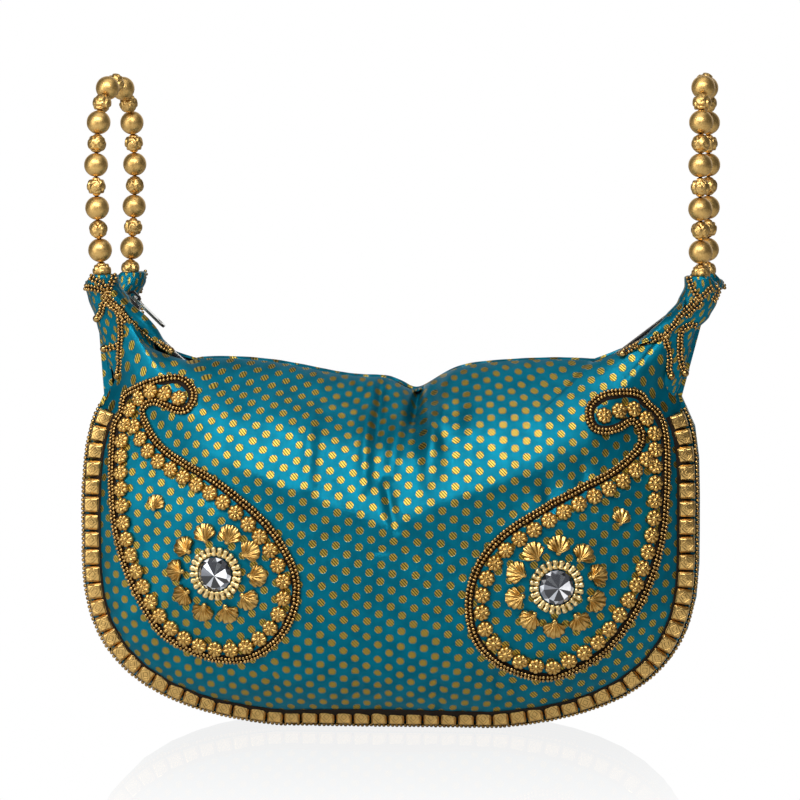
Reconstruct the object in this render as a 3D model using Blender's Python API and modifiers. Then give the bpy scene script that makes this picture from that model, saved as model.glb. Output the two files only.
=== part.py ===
# Half-moon evening bag of stuffed brocade with two bead loop handles.
# Metres, +Z up. +X runs to the right as seen from the decorated front, which faces -Y.
# The origin is at the middle of the flat patch of gusset that the bag stands on.

import bmesh
import bpy
import math
from mathutils import Matrix, Vector

# Body: the gusset's outline, seen from the front
BAG_WIDTH = 0.280
TOP_HEIGHT = 0.169
WIDEST_HEIGHT = 0.085
LOWER_ROUNDNESS = 2.9
UPPER_ROUNDNESS = 5.0
FOOT_FLATTENING = 0.0015
TOP_SAG = 0.007
NOTCH_X = 0.015
NOTCH_DEPTH = 0.0085
NOTCH_REACH = 0.013
DIP_X = -0.022
DIP_DEPTH = 0.0045
DIP_REACH = 0.032

# Body: depth from front to back
GUSSET_WIDTH = 0.040
GUSSET_CROWN = 0.0026
GUSSET_SHOULDER = 0.004
MOUTH_WIDTH = 0.014
TAPER_DROP = 0.019
TAPER_LENGTH = 0.050
TAPER_END = TOP_HEIGHT - TAPER_DROP
TAPER_START = TAPER_END - TAPER_LENGTH
FRONT_BULGE = 0.032
BACK_BULGE = 0.028
PANEL_HEM = 0.0020
DOME_ROUNDNESS = 3.0
DOME_FULLNESS = 0.9
PANEL_WALL = 0.0018
GUSSET_WALL = 0.0016

# Gathers under the notch
FOLD_DEPTH = 0.0030
FOLD_PITCH = 0.017
FOLD_REACH = 0.024
FOLD_LENGTH = 0.077
FOLD_END = TOP_HEIGHT - FOLD_LENGTH

# Clearances
SEAM_GAP = 0.0003
TRIM_LIFT = 0.00035
TURN_GAP = 0.0004

# Stud row and seam strings
STUD_SIZE = 0.0074
STUD_PITCH = 0.0082
STUD_HEIGHT = 0.0021
STUD_BED = 0.0010
STUD_TOP_SHARE = 0.72
STUD_BED_SHARE = 0.9
SHOULDER_DROP = 0.0195
SHOULDER_HEIGHT = TOP_HEIGHT - SHOULDER_DROP
STUD_ROW_DROP = 0.0045
STUD_ROW_TOP = SHOULDER_HEIGHT - STUD_ROW_DROP
SEAM_STRING_DIAMETER = 0.0020
PIPING_DIAMETER = 0.0020

# Paisleys, both from one path; each is set out round its crystal
PAISLEY_SCALE_RATE = 5.917
PAISLEY_SCALE = TOP_HEIGHT * PAISLEY_SCALE_RATE
PAISLEY_INSET = 0.063
PAISLEY_SPREAD = BAG_WIDTH - 2 * PAISLEY_INSET * PAISLEY_SCALE
LEFT_PAISLEY_SHIFT = 0.0026
RIGHT_PAISLEY_SHIFT = -0.0003
LEFT_PAISLEY_SHARE = 0.4302
RIGHT_PAISLEY_SHARE = 0.4030
FLOWER_DIAMETER = 0.0070
FLOWER_HEIGHT = 0.0026
FLOWER_NECK = 0.0034
FLOWER_TOP_SHARE = 0.6
FLOWER_PITCH = 0.0076
OUTLINE_WIDTH = 0.0030
OUTLINE_HEIGHT = 0.0018
CRYSTAL_DIAMETER = 0.0152
CRYSTAL_HEIGHT = 0.0048
CRYSTAL_TABLE = 0.0076
RONDELLE_COUNT = 24
RONDELLE_LENGTH = 0.0042
RONDELLE_HEIGHT = 0.0022
RONDELLE_WAIST = 0.8
SHELLS_PER_RING = 10
SHELL_LENGTH = 0.0091
SHELL_GAP = 0.0021
SHELL_RING_DIAMETER = CRYSTAL_DIAMETER + 2 * RONDELLE_LENGTH + SHELL_LENGTH + 2 * SHELL_GAP
SHELL_WIDTH = 0.0100
SHELL_HEIGHT = 0.0028
SHELL_RIBS = 4
LONE_SHELL_OFFSET = (-0.0282, 0.0302)
LONE_SHELL_SIZE = 0.84

# Ears: the gathered corners that hold the handles
EAR_INSET = 0.0055
EAR_SPREAD = BAG_WIDTH - 2 * EAR_INSET
EAR_LEAN = 0.0045
EAR_RISE = 0.0345
EAR_TOP = TOP_HEIGHT + EAR_RISE
EAR_DEPTH_POSITION = 0.0165
EAR_FOOT_INSET = 0.0185
EAR_FOOT_SPREAD = BAG_WIDTH - 2 * EAR_FOOT_INSET
EAR_FOOT_DEPTH = 0.0050
EAR_FOOT_DROP = 0.0155
EAR_FOOT_HEIGHT = TOP_HEIGHT - EAR_FOOT_DROP
EAR_FOOT_WIDTH = 0.0220
EAR_WAIST_WIDTH = 0.0175
EAR_CUP_WIDTH = 0.0150
EAR_CUP_DEPTH = 0.0022
CUP_EASE = 1.09
EAR_PLEATS = 6
PLEAT_DEPTH = 0.08
EAR_TRIM_DIAMETER = 0.0020
LEFT_LOOP_TURN = 0.0075
RIGHT_LOOP_TURN = 0.0026

# Handles: strung beads
LOOP_RISE = 0.093
LOOP_TOP = EAR_TOP + LOOP_RISE
LOOP_WIDTH = 0.047
LOOP_PROFILE = ((0.93, 0.28), (1.0, 0.56), (0.82, 0.82), (0.42, 0.965))
BIG_BEAD_DIAMETER = 0.0108
SMALL_BEAD_DIAMETER = 0.0086
BEAD_NECK_DIAMETER = 0.0044

# Zip along the mouth
TAPE_THICKNESS = 0.0008
TAPE_INNER_HALF = 0.0018
TAPE_DROP = 0.0012
CHAIN_WIDTH = 0.0030
CHAIN_HEIGHT = 0.0024
SLOPE_FOOT_INSET = 0.039
SLOPE_FOOT_SPREAD = BAG_WIDTH - 2 * SLOPE_FOOT_INSET
SLOPE_TOP_DROP = 0.007
SLOPE_TOP_HEIGHT = EAR_TOP - SLOPE_TOP_DROP
SLOPE_KNEE = 0.008
SLIDER_LENGTH = 0.0110
SLIDER_WIDTH = 0.0078
SLIDER_HEIGHT = 0.0042
SLIDER_WALL = 0.0009
SLIDER_PLACE = 0.0105
BAIL_DIAMETER = 0.0014
BAIL_LENGTH = 0.0056
BAIL_RISE = 0.0034
PULL_LENGTH = 0.0200
PULL_WIDTH = 0.0064
PULL_THICKNESS = 0.0012
PULL_WINDOW_WIDTH = 0.0026
PULL_WINDOW_LENGTH = 0.0052
PULL_BAR = 0.0012
PULL_HOLE_DIAMETER = 0.0030
STOP_LENGTH = 0.0030

# Mesh fineness
GUSSET_STEPS = 34
MOUTH_STEPS = 18
FRONT_RINGS = (0.30, 0.52, 0.70, 0.84, 0.93, 1.0)
BACK_RINGS = (0.48, 0.80, 1.0)
NOTCH_CROWDING = 3.0

CENTRE = Vector((0.0, 0.0, WIDEST_HEIGHT))

# Paths of the flower chains, from the curl's tip round the paisley, in metres from its crystal and
# with x towards the bag's middle; the paisley's scale, which is 1 for this bag's height, multiplies them
LEFT_FLOWER_PATH = (
    (-0.0189, 0.0764), (-0.0323, 0.0794), (-0.0414, 0.0722), (-0.0454, 0.0604),
    (-0.0454, 0.0456), (-0.0445, 0.0313), (-0.0428, 0.0165), (-0.0384, 0.0020),
    (-0.0317, -0.0123), (-0.0230, -0.0245), (-0.0102, -0.0326), (0.0025, -0.0346),
    (0.0145, -0.0320), (0.0259, -0.0217), (0.0307, -0.0070), (0.0267, 0.0069),
    (0.0186, 0.0183), (0.0078, 0.0281), (-0.0040, 0.0362), (-0.0180, 0.0433),
    (-0.0312, 0.0511), (-0.0401, 0.0630),
)
RIGHT_FLOWER_PATH = (
    (-0.0202, 0.0745), (-0.0329, 0.0771), (-0.0417, 0.0677), (-0.0428, 0.0546),
    (-0.0428, 0.0388), (-0.0418, 0.0246), (-0.0386, 0.0101), (-0.0332, -0.0036),
    (-0.0252, -0.0165), (-0.0153, -0.0277), (-0.0005, -0.0358), (0.0068, -0.0363),
    (0.0208, -0.0314), (0.0305, -0.0206), (0.0328, -0.0068), (0.0292, 0.0068),
    (0.0205, 0.0180), (0.0077, 0.0268), (-0.0051, 0.0341), (-0.0175, 0.0402),
    (-0.0290, 0.0462), (-0.0389, 0.0548),
)

# Paths of the double bead strings outside the flowers, closed
LEFT_OUTLINE_PATH = (
    (-0.0266, 0.0851), (-0.0190, 0.0848), (-0.0137, 0.0807), (-0.0123, 0.0758),
    (-0.0150, 0.0715), (-0.0196, 0.0711), (-0.0253, 0.0730), (-0.0300, 0.0745),
    (-0.0338, 0.0739), (-0.0364, 0.0701), (-0.0338, 0.0641), (-0.0294, 0.0578),
    (-0.0231, 0.0526), (-0.0143, 0.0479), (-0.0046, 0.0432), (0.0034, 0.0385),
    (0.0111, 0.0329), (0.0190, 0.0263), (0.0255, 0.0195), (0.0306, 0.0120),
    (0.0347, 0.0038), (0.0365, -0.0037), (0.0359, -0.0127), (0.0330, -0.0211),
    (0.0277, -0.0290), (0.0199, -0.0355), (0.0112, -0.0395), (0.0020, -0.0401),
    (-0.0073, -0.0392), (-0.0180, -0.0353), (-0.0272, -0.0294), (-0.0348, -0.0198),
    (-0.0410, -0.0095), (-0.0458, 0.0038), (-0.0485, 0.0187), (-0.0500, 0.0336),
    (-0.0507, 0.0480), (-0.0502, 0.0626), (-0.0471, 0.0689), (-0.0457, 0.0767),
    (-0.0368, 0.0820), (-0.0313, 0.0839),
)
RIGHT_OUTLINE_PATH = (
    (-0.0303, 0.0850), (-0.0214, 0.0837), (-0.0149, 0.0798), (-0.0135, 0.0742),
    (-0.0158, 0.0692), (-0.0210, 0.0676), (-0.0269, 0.0689), (-0.0320, 0.0717),
    (-0.0343, 0.0703), (-0.0365, 0.0665), (-0.0358, 0.0607), (-0.0313, 0.0558),
    (-0.0247, 0.0505), (-0.0158, 0.0459), (-0.0056, 0.0409), (0.0037, 0.0360),
    (0.0133, 0.0303), (0.0221, 0.0243), (0.0295, 0.0170), (0.0353, 0.0078),
    (0.0381, -0.0013), (0.0387, -0.0103), (0.0373, -0.0194), (0.0336, -0.0271),
    (0.0271, -0.0341), (0.0183, -0.0389), (0.0088, -0.0418), (-0.0001, -0.0415),
    (-0.0089, -0.0378), (-0.0193, -0.0318), (-0.0267, -0.0242), (-0.0325, -0.0160),
    (-0.0377, -0.0071), (-0.0420, 0.0032), (-0.0450, 0.0135), (-0.0471, 0.0253),
    (-0.0480, 0.0386), (-0.0482, 0.0500), (-0.0478, 0.0630), (-0.0450, 0.0732),
    (-0.0393, 0.0795), (-0.0362, 0.0837),
)

for old in list(bpy.data.objects):
    bpy.data.objects.remove(old, do_unlink=True)

bag_parts = bpy.data.collections.new("half_moon_bag")
cutters = bpy.data.collections.new("cutters")
bpy.context.scene.collection.children.link(bag_parts)
bpy.context.scene.collection.children.link(cutters)


def make_material(name, colour, roughness, metallic):
    material = bpy.data.materials.new(name)
    material.use_nodes = True
    shader = material.node_tree.nodes["Principled BSDF"]
    shader.inputs["Base Color"].default_value = (*colour, 1.0)
    shader.inputs["Roughness"].default_value = roughness
    shader.inputs["Metallic"].default_value = metallic
    material.diffuse_color = (*colour, 1.0)
    return material


BROCADE = make_material("teal_brocade", (0.0, 0.20, 0.30), 0.45, 0.0)
BRASS = make_material("antique_brass", (0.42, 0.25, 0.07), 0.38, 1.0)
SEED_BEAD = make_material("bronze_seed_bead", (0.22, 0.12, 0.035), 0.35, 0.8)
SATIN_GOLD = make_material("satin_gold_bead", (0.50, 0.32, 0.12), 0.45, 0.7)
CRYSTAL = make_material("cut_crystal", (0.75, 0.78, 0.80), 0.05, 0.3)
TAPE = make_material("black_zip_tape", (0.012, 0.012, 0.014), 0.8, 0.0)
STEEL = make_material("bright_steel", (0.62, 0.62, 0.60), 0.25, 1.0)


def smoothstep(low, high, value):
    share = min(1.0, max(0.0, (value - low) / (high - low)))
    return share * share * (3.0 - 2.0 * share)


# Outline of the body


def rim_radius(direction, inset):
    # Superellipse about CENTRE, less the sag, the notch and the dip beside it of the top edge
    upper = math.sin(direction) > 0.0
    half_width = BAG_WIDTH / 2 - inset
    lower_reach = WIDEST_HEIGHT + FOOT_FLATTENING - inset
    upper_reach = TOP_HEIGHT - WIDEST_HEIGHT - inset
    reach = upper_reach if upper else lower_reach
    power = UPPER_ROUNDNESS if upper else LOWER_ROUNDNESS
    across = (abs(math.cos(direction)) / half_width) ** power
    along = (abs(math.sin(direction)) / reach) ** power
    radius = (across + along) ** (-1.0 / power)
    if upper:
        x = radius * math.cos(direction)
        sag = TOP_SAG * max(0.0, 1.0 - (x / half_width) ** 2) ** 2
        notch = NOTCH_DEPTH * math.exp(-((x - NOTCH_X) / NOTCH_REACH) ** 2)
        dip = DIP_DEPTH * math.exp(-((x - DIP_X) / DIP_REACH) ** 2)
        radius -= (sag + notch + dip) * math.sin(direction)
    else:
        floor_radius = (WIDEST_HEIGHT - inset) / max(1e-6, -math.sin(direction))
        radius = min(radius, floor_radius)
    return radius


def rim_point(direction, inset=0.0):
    radius = rim_radius(direction, inset)
    return CENTRE + Vector((math.cos(direction), 0.0, math.sin(direction))) * radius


def half_depth(height):
    # Half of the gusset's width, which narrows to the mouth towards the shoulders
    share = smoothstep(TAPER_START, TAPER_END, height)
    return (GUSSET_WIDTH * (1.0 - share) + MOUTH_WIDTH * share) / 2


def spread_directions(count, start, end, crowding=0.0):
    # Directions from CENTRE at even steps along the rim, closer together round the notch
    fine = [start + (end - start) * i / 1440 for i in range(1441)]
    lengths = [0.0]
    for first, second in zip(fine, fine[1:]):
        a, b = rim_point(first), rim_point(second)
        weight = 1.0
        if a.z > WIDEST_HEIGHT:
            weight += crowding * math.exp(-((a.x - NOTCH_X) / FOLD_REACH) ** 2)
        lengths.append(lengths[-1] + (b - a).length * weight)
    found, index = [], 0
    for i in range(count + 1):
        wanted = lengths[-1] * i / count
        while index < 1439 and lengths[index + 1] < wanted:
            index += 1
        share = (wanted - lengths[index]) / (lengths[index + 1] - lengths[index])
        found.append(fine[index] + (fine[index + 1] - fine[index]) * share)
    return found


def gather(x, z):
    share = smoothstep(FOLD_END, TOP_HEIGHT, z)
    offset = x - NOTCH_X
    fade = math.exp(-(offset / FOLD_REACH) ** 2)
    return FOLD_DEPTH * share * math.cos(2 * math.pi * offset / FOLD_PITCH) * fade


def panel_point(direction, share, side, grow=0.0):
    # Point of a panel's outer face: share is 0 at the middle of the dome and 1 at its rim
    edge = rim_point(direction, GUSSET_CROWN - grow)
    x = edge.x * share
    z = CENTRE.z + (edge.z - CENTRE.z) * share
    bulge = FRONT_BULGE if side < 0 else BACK_BULGE
    dome = max(0.0, 1.0 - share ** DOME_ROUNDNESS) ** DOME_FULLNESS
    base = half_depth(edge.z) * share ** 2 + GUSSET_WIDTH / 2 * (1.0 - share ** 2)
    depth = base + SEAM_GAP + PANEL_HEM + bulge * dome - gather(x, z) * min(1.0, 4 * (1 - share)) + grow
    return Vector((x, side * depth, z))


def on_front(x, z, lift=0.0):
    # Point and outward normal of the front panel's face at a place seen from the front
    def face(px, pz):
        direction = math.atan2(pz - CENTRE.z, px)
        share = math.hypot(px, pz - CENTRE.z) / rim_radius(direction, GUSSET_CROWN)
        return panel_point(direction, min(1.0, share), -1)

    step = 0.0004
    point = face(x, z)
    along_x = face(x + step, z) - face(x - step, z)
    along_z = face(x, z + step) - face(x, z - step)
    normal = along_x.cross(along_z).normalized()
    return point + normal * lift, normal


# Mesh helpers


def add_mesh(name, bm, material, smooth=None, collection=None):
    mesh = bpy.data.meshes.new(name)
    bm.to_mesh(mesh)
    bm.free()
    mesh.materials.append(material)
    if smooth is not None:
        mesh.shade_smooth()
        mesh.set_sharp_from_angle(angle=math.radians(smooth))
    made = bpy.data.objects.new(name, mesh)
    (collection or bag_parts).objects.link(made)
    return made


def join_rings(bm, rings, closed):
    # Side faces between neighbouring rings of vertices, each ring a closed section
    pairs = list(zip(rings, rings[1:]))
    if closed:
        pairs.append((rings[-1], rings[0]))
    for lower, upper in pairs:
        for i in range(len(lower)):
            j = (i + 1) % len(lower)
            bm.faces.new((lower[i], lower[j], upper[j], upper[i]))


def loft(name, sections, material, closed=False, smooth=None, collection=None):
    bm = bmesh.new()
    rings = [[bm.verts.new(point) for point in section] for section in sections]
    join_rings(bm, rings, closed)
    if not closed:
        bm.faces.new(rings[0])
        bm.faces.new(rings[-1])
    bmesh.ops.recalc_face_normals(bm, faces=bm.faces)
    bmesh.ops.triangulate(bm, faces=bm.faces)
    return add_mesh(name, bm, material, smooth, collection)


def smooth_path(points, spacing, closed=False, place=None):
    # Catmull-Rom curve through the points, put in place, then stepped evenly along its length
    points = [Vector(point) for point in points]
    count = len(points)
    fine = []
    for i in range(count if closed else count - 1):
        if closed:
            p0, p1, p2, p3 = (points[(i + k) % count] for k in (-1, 0, 1, 2))
        else:
            p0, p1 = points[max(0, i - 1)], points[i]
            p2, p3 = points[i + 1], points[min(count - 1, i + 2)]
        for k in range(24):
            t = k / 24
            fine.append(0.5 * (2 * p1 + (p2 - p0) * t + (2 * p0 - 5 * p1 + 4 * p2 - p3) * t ** 2
                               + (3 * p1 - p0 - 3 * p2 + p3) * t ** 3))
    fine.append(points[0] if closed else points[-1])
    if place:
        fine = [place(point) for point in fine]
    lengths = [0.0]
    for a, b in zip(fine, fine[1:]):
        lengths.append(lengths[-1] + (b - a).length)
    steps = max(2, round(lengths[-1] / spacing))
    found, index = [], 0
    for i in range(steps if closed else steps + 1):
        wanted = lengths[-1] * i / steps
        while index < len(fine) - 2 and lengths[index + 1] < wanted:
            index += 1
        share = (wanted - lengths[index]) / (lengths[index + 1] - lengths[index])
        found.append(fine[index].lerp(fine[index + 1], share))
    return found


def tube(name, points, diameter, material, resolution=1, closed=False):
    curve = bpy.data.curves.new(name, "CURVE")
    curve.dimensions = "3D"
    curve.bevel_depth = diameter / 2
    curve.bevel_resolution = resolution
    curve.use_fill_caps = True
    spline = curve.splines.new("POLY")
    spline.points.add(len(points) - 1)
    spline.use_cyclic_u = closed
    for place, point in zip(spline.points, points):
        place.co = (*point, 1.0)
    curve.materials.append(material)
    made = bpy.data.objects.new(name, curve)
    bag_parts.objects.link(made)
    return made


def as_mesh(made):
    # The same piece as a welded mesh, so that it can be joined or cut
    bpy.context.view_layer.update()
    ready = made.evaluated_get(bpy.context.evaluated_depsgraph_get())
    mesh = bpy.data.meshes.new_from_object(ready)
    bm = bmesh.new()
    bm.from_mesh(mesh)
    bmesh.ops.remove_doubles(bm, verts=bm.verts, dist=1e-6)
    bm.to_mesh(mesh)
    bm.free()
    name, place = made.name, made.matrix_world.copy()
    bpy.data.objects.remove(made)
    mesh.name = name
    solid = bpy.data.objects.new(name, mesh)
    solid.matrix_world = place
    bag_parts.objects.link(solid)
    return solid


def hide_cutter(cutter):
    for holder in list(cutter.users_collection):
        holder.objects.unlink(cutter)
    cutters.objects.link(cutter)
    cutter.hide_render = True
    cutter.display_type = "WIRE"
    return cutter


def boolean(target, tool, operation):
    modifier = target.modifiers.new(operation.lower(), "BOOLEAN")
    modifier.operation = operation
    modifier.solver = "EXACT"
    modifier.object = tool
    return modifier


# Panels, gusset and seams


def direction_at_height(height):
    # Direction, right of CENTRE, in which the gusset's outline reaches a height
    low, high = 0.0, math.pi / 4
    for _ in range(40):
        middle = (low + high) / 2
        if rim_point(middle).z < height:
            low = middle
        else:
            high = middle
    return low


def seam_directions():
    # From the left shoulder round the bottom to the right one, shared by gusset and panels
    shoulder = direction_at_height(SHOULDER_HEIGHT)
    return spread_directions(GUSSET_STEPS, math.pi - shoulder, 2 * math.pi + shoulder)


def mouth_directions():
    # Between the shoulders, along the top
    shoulder = direction_at_height(SHOULDER_HEIGHT)
    return spread_directions(MOUTH_STEPS, shoulder, math.pi - shoulder, NOTCH_CROWDING)[1:-1]


def make_panel(name, side, rings):
    # Open dome lofted from its pole to the hem that turns in at the seam, thickened inwards
    directions = seam_directions() + mouth_directions()
    bm = bmesh.new()
    pole = bm.verts.new(panel_point(math.pi / 2, 0.0, side))
    circles = [[bm.verts.new(panel_point(d, share, side)) for d in directions] for share in rings]
    hem = []
    for direction in directions:
        edge = rim_point(direction, GUSSET_CROWN)
        edge.y = side * (half_depth(edge.z) + SEAM_GAP)
        hem.append(bm.verts.new(edge))
    circles.append(hem)
    for i in range(len(directions)):
        bm.faces.new((pole, circles[0][i], circles[0][(i + 1) % len(directions)]))
    join_rings(bm, circles, closed=False)
    bmesh.ops.recalc_face_normals(bm, faces=bm.faces)
    bm.normal_update()
    if pole.link_faces[0].normal.y * side < 0:
        bmesh.ops.reverse_faces(bm, faces=bm.faces)
    bmesh.ops.triangulate(bm, faces=bm.faces)
    panel = add_mesh(name, bm, BROCADE, smooth=50)
    wall = panel.modifiers.new("wall", "SOLIDIFY")
    wall.thickness = PANEL_WALL
    wall.offset = -1.0
    return panel


def ear_top_x(side):
    return side * EAR_SPREAD / 2 + EAR_LEAN


def tongue_top(side):
    # The gusset's ends run up between the ears to the zip's ends
    clear = GUSSET_CROWN + GUSSET_WALL + SEAM_GAP * 3
    return Vector((ear_top_x(side) + side * clear, 0.0, SLOPE_TOP_HEIGHT + TAPE_THICKNESS))


def gusset_section(point, outward, half):
    shoulder = GUSSET_SHOULDER * half / (GUSSET_WIDTH / 2)
    places = ((-half, GUSSET_CROWN), (shoulder - half, 0.0), (half - shoulder, 0.0), (half, GUSSET_CROWN))
    outer = [outward(point, inset, y) for y, inset in places]
    inner = [outward(point, inset + GUSSET_WALL, y) for y, inset in reversed(places)]
    return outer + inner


def make_gusset():
    def on_rim(direction, inset, y):
        place = rim_point(direction, inset)
        place.y = y
        return place

    def tongue_section(side, share):
        start, end = rim_point(bottom_of_tongue[side]), tongue_top(side)
        normal = Vector((end.z - start.z, 0.0, start.x - end.x)).normalized() * side
        centre = start.lerp(end, share)
        half = half_depth(start.z) * (1 - share) + MOUTH_WIDTH / 2 * share

        def off_line(point, inset, y):
            return point - normal * inset + Vector((0.0, y, 0.0))

        return gusset_section(centre, off_line, half)

    directions = seam_directions()
    bottom_of_tongue = {-1: directions[0], 1: directions[-1]}
    sections = [tongue_section(-1, 1.0), tongue_section(-1, 0.5)]
    for direction in directions:
        sections.append(gusset_section(direction, on_rim, half_depth(rim_point(direction).z)))
    sections += [tongue_section(1, 0.5), tongue_section(1, 1.0)]
    return loft("gusset", sections, BROCADE, smooth=50)


def seam_string(name, side, diameter, material, steps):
    # Cord or bead string laid in the angle between the gusset and a panel's hem
    radius = diameter / 2
    shoulder = direction_at_height(STUD_ROW_TOP)
    points = []
    for direction in spread_directions(steps, math.pi - shoulder, 2 * math.pi + shoulder):
        point = rim_point(direction, GUSSET_CROWN - SEAM_GAP - radius)
        point.y = side * (half_depth(point.z) + SEAM_GAP + radius)
        points.append(point)
    return tube(name, points, diameter, material, resolution=0)


def make_stud_row():
    # Square studs set edge to edge on one bed along the front seam
    shoulder = direction_at_height(STUD_ROW_TOP)
    start, end = math.pi - shoulder, 2 * math.pi + shoulder
    rim_length = sum((rim_point(b) - rim_point(a)).length for a, b in
                     zip(spread_directions(90, start, end), spread_directions(90, start, end)[1:]))
    studs = round(rim_length / STUD_PITCH)
    slices = 8
    directions = spread_directions(studs * slices, start, end)

    def section(direction, height, width):
        outer = panel_point(direction, 0.999, -1)
        inner = panel_point(direction, 1 - STUD_SIZE / rim_radius(direction, 0.0), -1)
        across = (inner - outer).normalized()
        along = rim_point(direction + 0.01) - rim_point(direction - 0.01)
        normal = along.cross(across).normalized()
        if normal.y > 0:
            normal = -normal
        foot = outer + normal * TRIM_LIFT
        middle = foot + across * STUD_SIZE / 2 + normal * height
        return (foot, middle - across * width / 2, middle + across * width / 2, foot + across * STUD_SIZE)

    sections = []
    for i in range(studs):
        sections.append(section(directions[i * slices], STUD_BED, STUD_SIZE * STUD_BED_SHARE))
        for place in (1, slices - 1):
            sections.append(section(directions[i * slices + place], STUD_HEIGHT, STUD_SIZE * STUD_TOP_SHARE))
    sections.append(section(directions[-1], STUD_BED, STUD_SIZE * STUD_BED_SHARE))
    return loft("stud_row", sections, BRASS)


# Ornaments on the front


class Ornament:
    # One paisley and its place on the panel; shift moves its crystal to the right

    def __init__(self, word, side, shift, height, flower_path, outline_path, first_shell):
        self.word = word
        self.side = side
        self.x = side * PAISLEY_SPREAD / 2 + shift
        self.height = height
        self.flower_path = flower_path
        self.outline_path = outline_path
        self.first_shell = first_shell

    def place(self, point, lift=TRIM_LIFT):
        x = self.x - self.side * point[0] * PAISLEY_SCALE
        return on_front(x, self.height + point[1] * PAISLEY_SCALE, lift)[0]

    def normal(self, place):
        return on_front(place.x, place.z)[1]


def strip(name, points, ornament, widths, heights, material, closed, top_share):
    # Strip along points of the panel; widths and heights repeat from point to point
    sections = []
    for i, point in enumerate(points):
        before = points[i - 1] if closed or i else point
        after = points[(i + 1) % len(points)] if closed or i + 1 < len(points) else point
        normal = ornament.normal(point)
        across = normal.cross((after - before).normalized()).normalized()
        width, height = widths[i % len(widths)], heights[i % len(heights)]
        if top_share:
            tops = [point + normal * height + across * width / 2 * top_share * k for k in (-1, 1)]
        else:
            tops = [point + normal * height]
        sections.append([point - across * width / 2, *tops, point + across * width / 2])
    loft(name, sections, material, closed=closed)


def make_flower_chain(ornament):
    pitch = FLOWER_PITCH * PAISLEY_SCALE
    points = smooth_path(ornament.flower_path, pitch / 2, closed=False, place=ornament.place)
    if len(points) % 2 == 0:
        points.pop()
    widths = (FLOWER_NECK * PAISLEY_SCALE, FLOWER_DIAMETER * PAISLEY_SCALE)
    heights = (FLOWER_HEIGHT / 2, FLOWER_HEIGHT)
    name = f"{ornament.word}_flower_chain"
    strip(name, points, ornament, widths, heights, SATIN_GOLD, False, FLOWER_TOP_SHARE)


def make_outline(ornament):
    pitch = FLOWER_PITCH * PAISLEY_SCALE
    points = smooth_path(ornament.outline_path, pitch, closed=True, place=ornament.place)
    widths = (OUTLINE_WIDTH * PAISLEY_SCALE,)
    strip(f"{ornament.word}_bead_outline", points, ornament, widths, (OUTLINE_HEIGHT,), SEED_BEAD, True, 0.0)


def make_rondelle_ring(ornament):
    length = RONDELLE_LENGTH * PAISLEY_SCALE
    radius = CRYSTAL_DIAMETER / 2 * PAISLEY_SCALE + SEAM_GAP + length / 2
    centre = ornament.place((0.0, 0.0))
    normal = ornament.normal(centre)
    frame = normal.to_track_quat("Z", "X").to_matrix()
    points = []
    for i in range(RONDELLE_COUNT * 2):
        angle = math.pi * i / RONDELLE_COUNT
        around = centre + frame @ Vector((math.cos(angle), math.sin(angle), 0.0)) * radius
        points.append(on_front(around.x, around.z, TRIM_LIFT)[0])
    widths = (length, length * RONDELLE_WAIST)
    heights = (RONDELLE_HEIGHT, RONDELLE_HEIGHT / 2)
    strip(f"{ornament.word}_rondelle_ring", points, ornament, widths, heights, BRASS, True, 0.0)


def make_crystal(ornament):
    # Round cut stone: a girdle between its seat and a small flat table
    centre = ornament.place((0.0, 0.0))
    normal = ornament.normal(centre)
    frame = normal.to_track_quat("Z", "X").to_matrix()
    girdle = CRYSTAL_DIAMETER / 2 * PAISLEY_SCALE
    levels = ((0.0, girdle * 0.9, 0.0), (CRYSTAL_HEIGHT * 0.35, girdle, 0.0),
              (CRYSTAL_HEIGHT, CRYSTAL_TABLE / 2 * PAISLEY_SCALE, 0.5))
    facets = 8
    sections = []
    for height, radius, shift in levels:
        ring = []
        for i in range(facets):
            angle = 2 * math.pi * (i + shift) / facets
            local = Vector((math.cos(angle) * radius, math.sin(angle) * radius, height))
            ring.append(centre + frame @ local)
        sections.append(ring)
    loft(f"{ornament.word}_crystal", sections, CRYSTAL)


def make_shell(name, place, outward, size=1.0):
    # Scallop: ribs fan out from a raised hinge; outward is the way the fan opens
    middle, normal = on_front(place.x, place.z, TRIM_LIFT)
    along = (outward - normal * outward.dot(normal)).normalized()
    across = normal.cross(along)

    def at(length, width, height):
        return middle + (along * length + across * width + normal * height) * size * PAISLEY_SCALE

    spread = math.radians(118)
    rim = [(-SHELL_LENGTH / 2, -SHELL_WIDTH * 0.12, SHELL_HEIGHT * 0.4)]
    for i in range(2 * SHELL_RIBS + 1):
        angle = -spread + 2 * spread * i / (2 * SHELL_RIBS)
        ridge = 1.0 if i % 2 else 0.86
        height = SHELL_HEIGHT * (0.45 if i % 2 else 0.2)
        length = SHELL_LENGTH / 2 * math.cos(angle) * ridge
        rim.append((length, SHELL_WIDTH / 2 * math.sin(angle) * ridge, height))
    rim.append((-SHELL_LENGTH / 2, SHELL_WIDTH * 0.12, SHELL_HEIGHT * 0.4))
    bm = bmesh.new()
    low = [bm.verts.new(at(length, width, 0.0)) for length, width, _ in rim]
    high = [bm.verts.new(at(length, width, height)) for length, width, height in rim]
    hinge = bm.verts.new(at(-SHELL_LENGTH * 0.18, 0.0, SHELL_HEIGHT))
    join_rings(bm, [low, high], closed=False)
    for i in range(len(high)):
        bm.faces.new((hinge, high[i], high[(i + 1) % len(high)]))
    bm.faces.new(low)
    bmesh.ops.recalc_face_normals(bm, faces=bm.faces)
    bmesh.ops.triangulate(bm, faces=bm.faces)
    return add_mesh(name, bm, BRASS)


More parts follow.
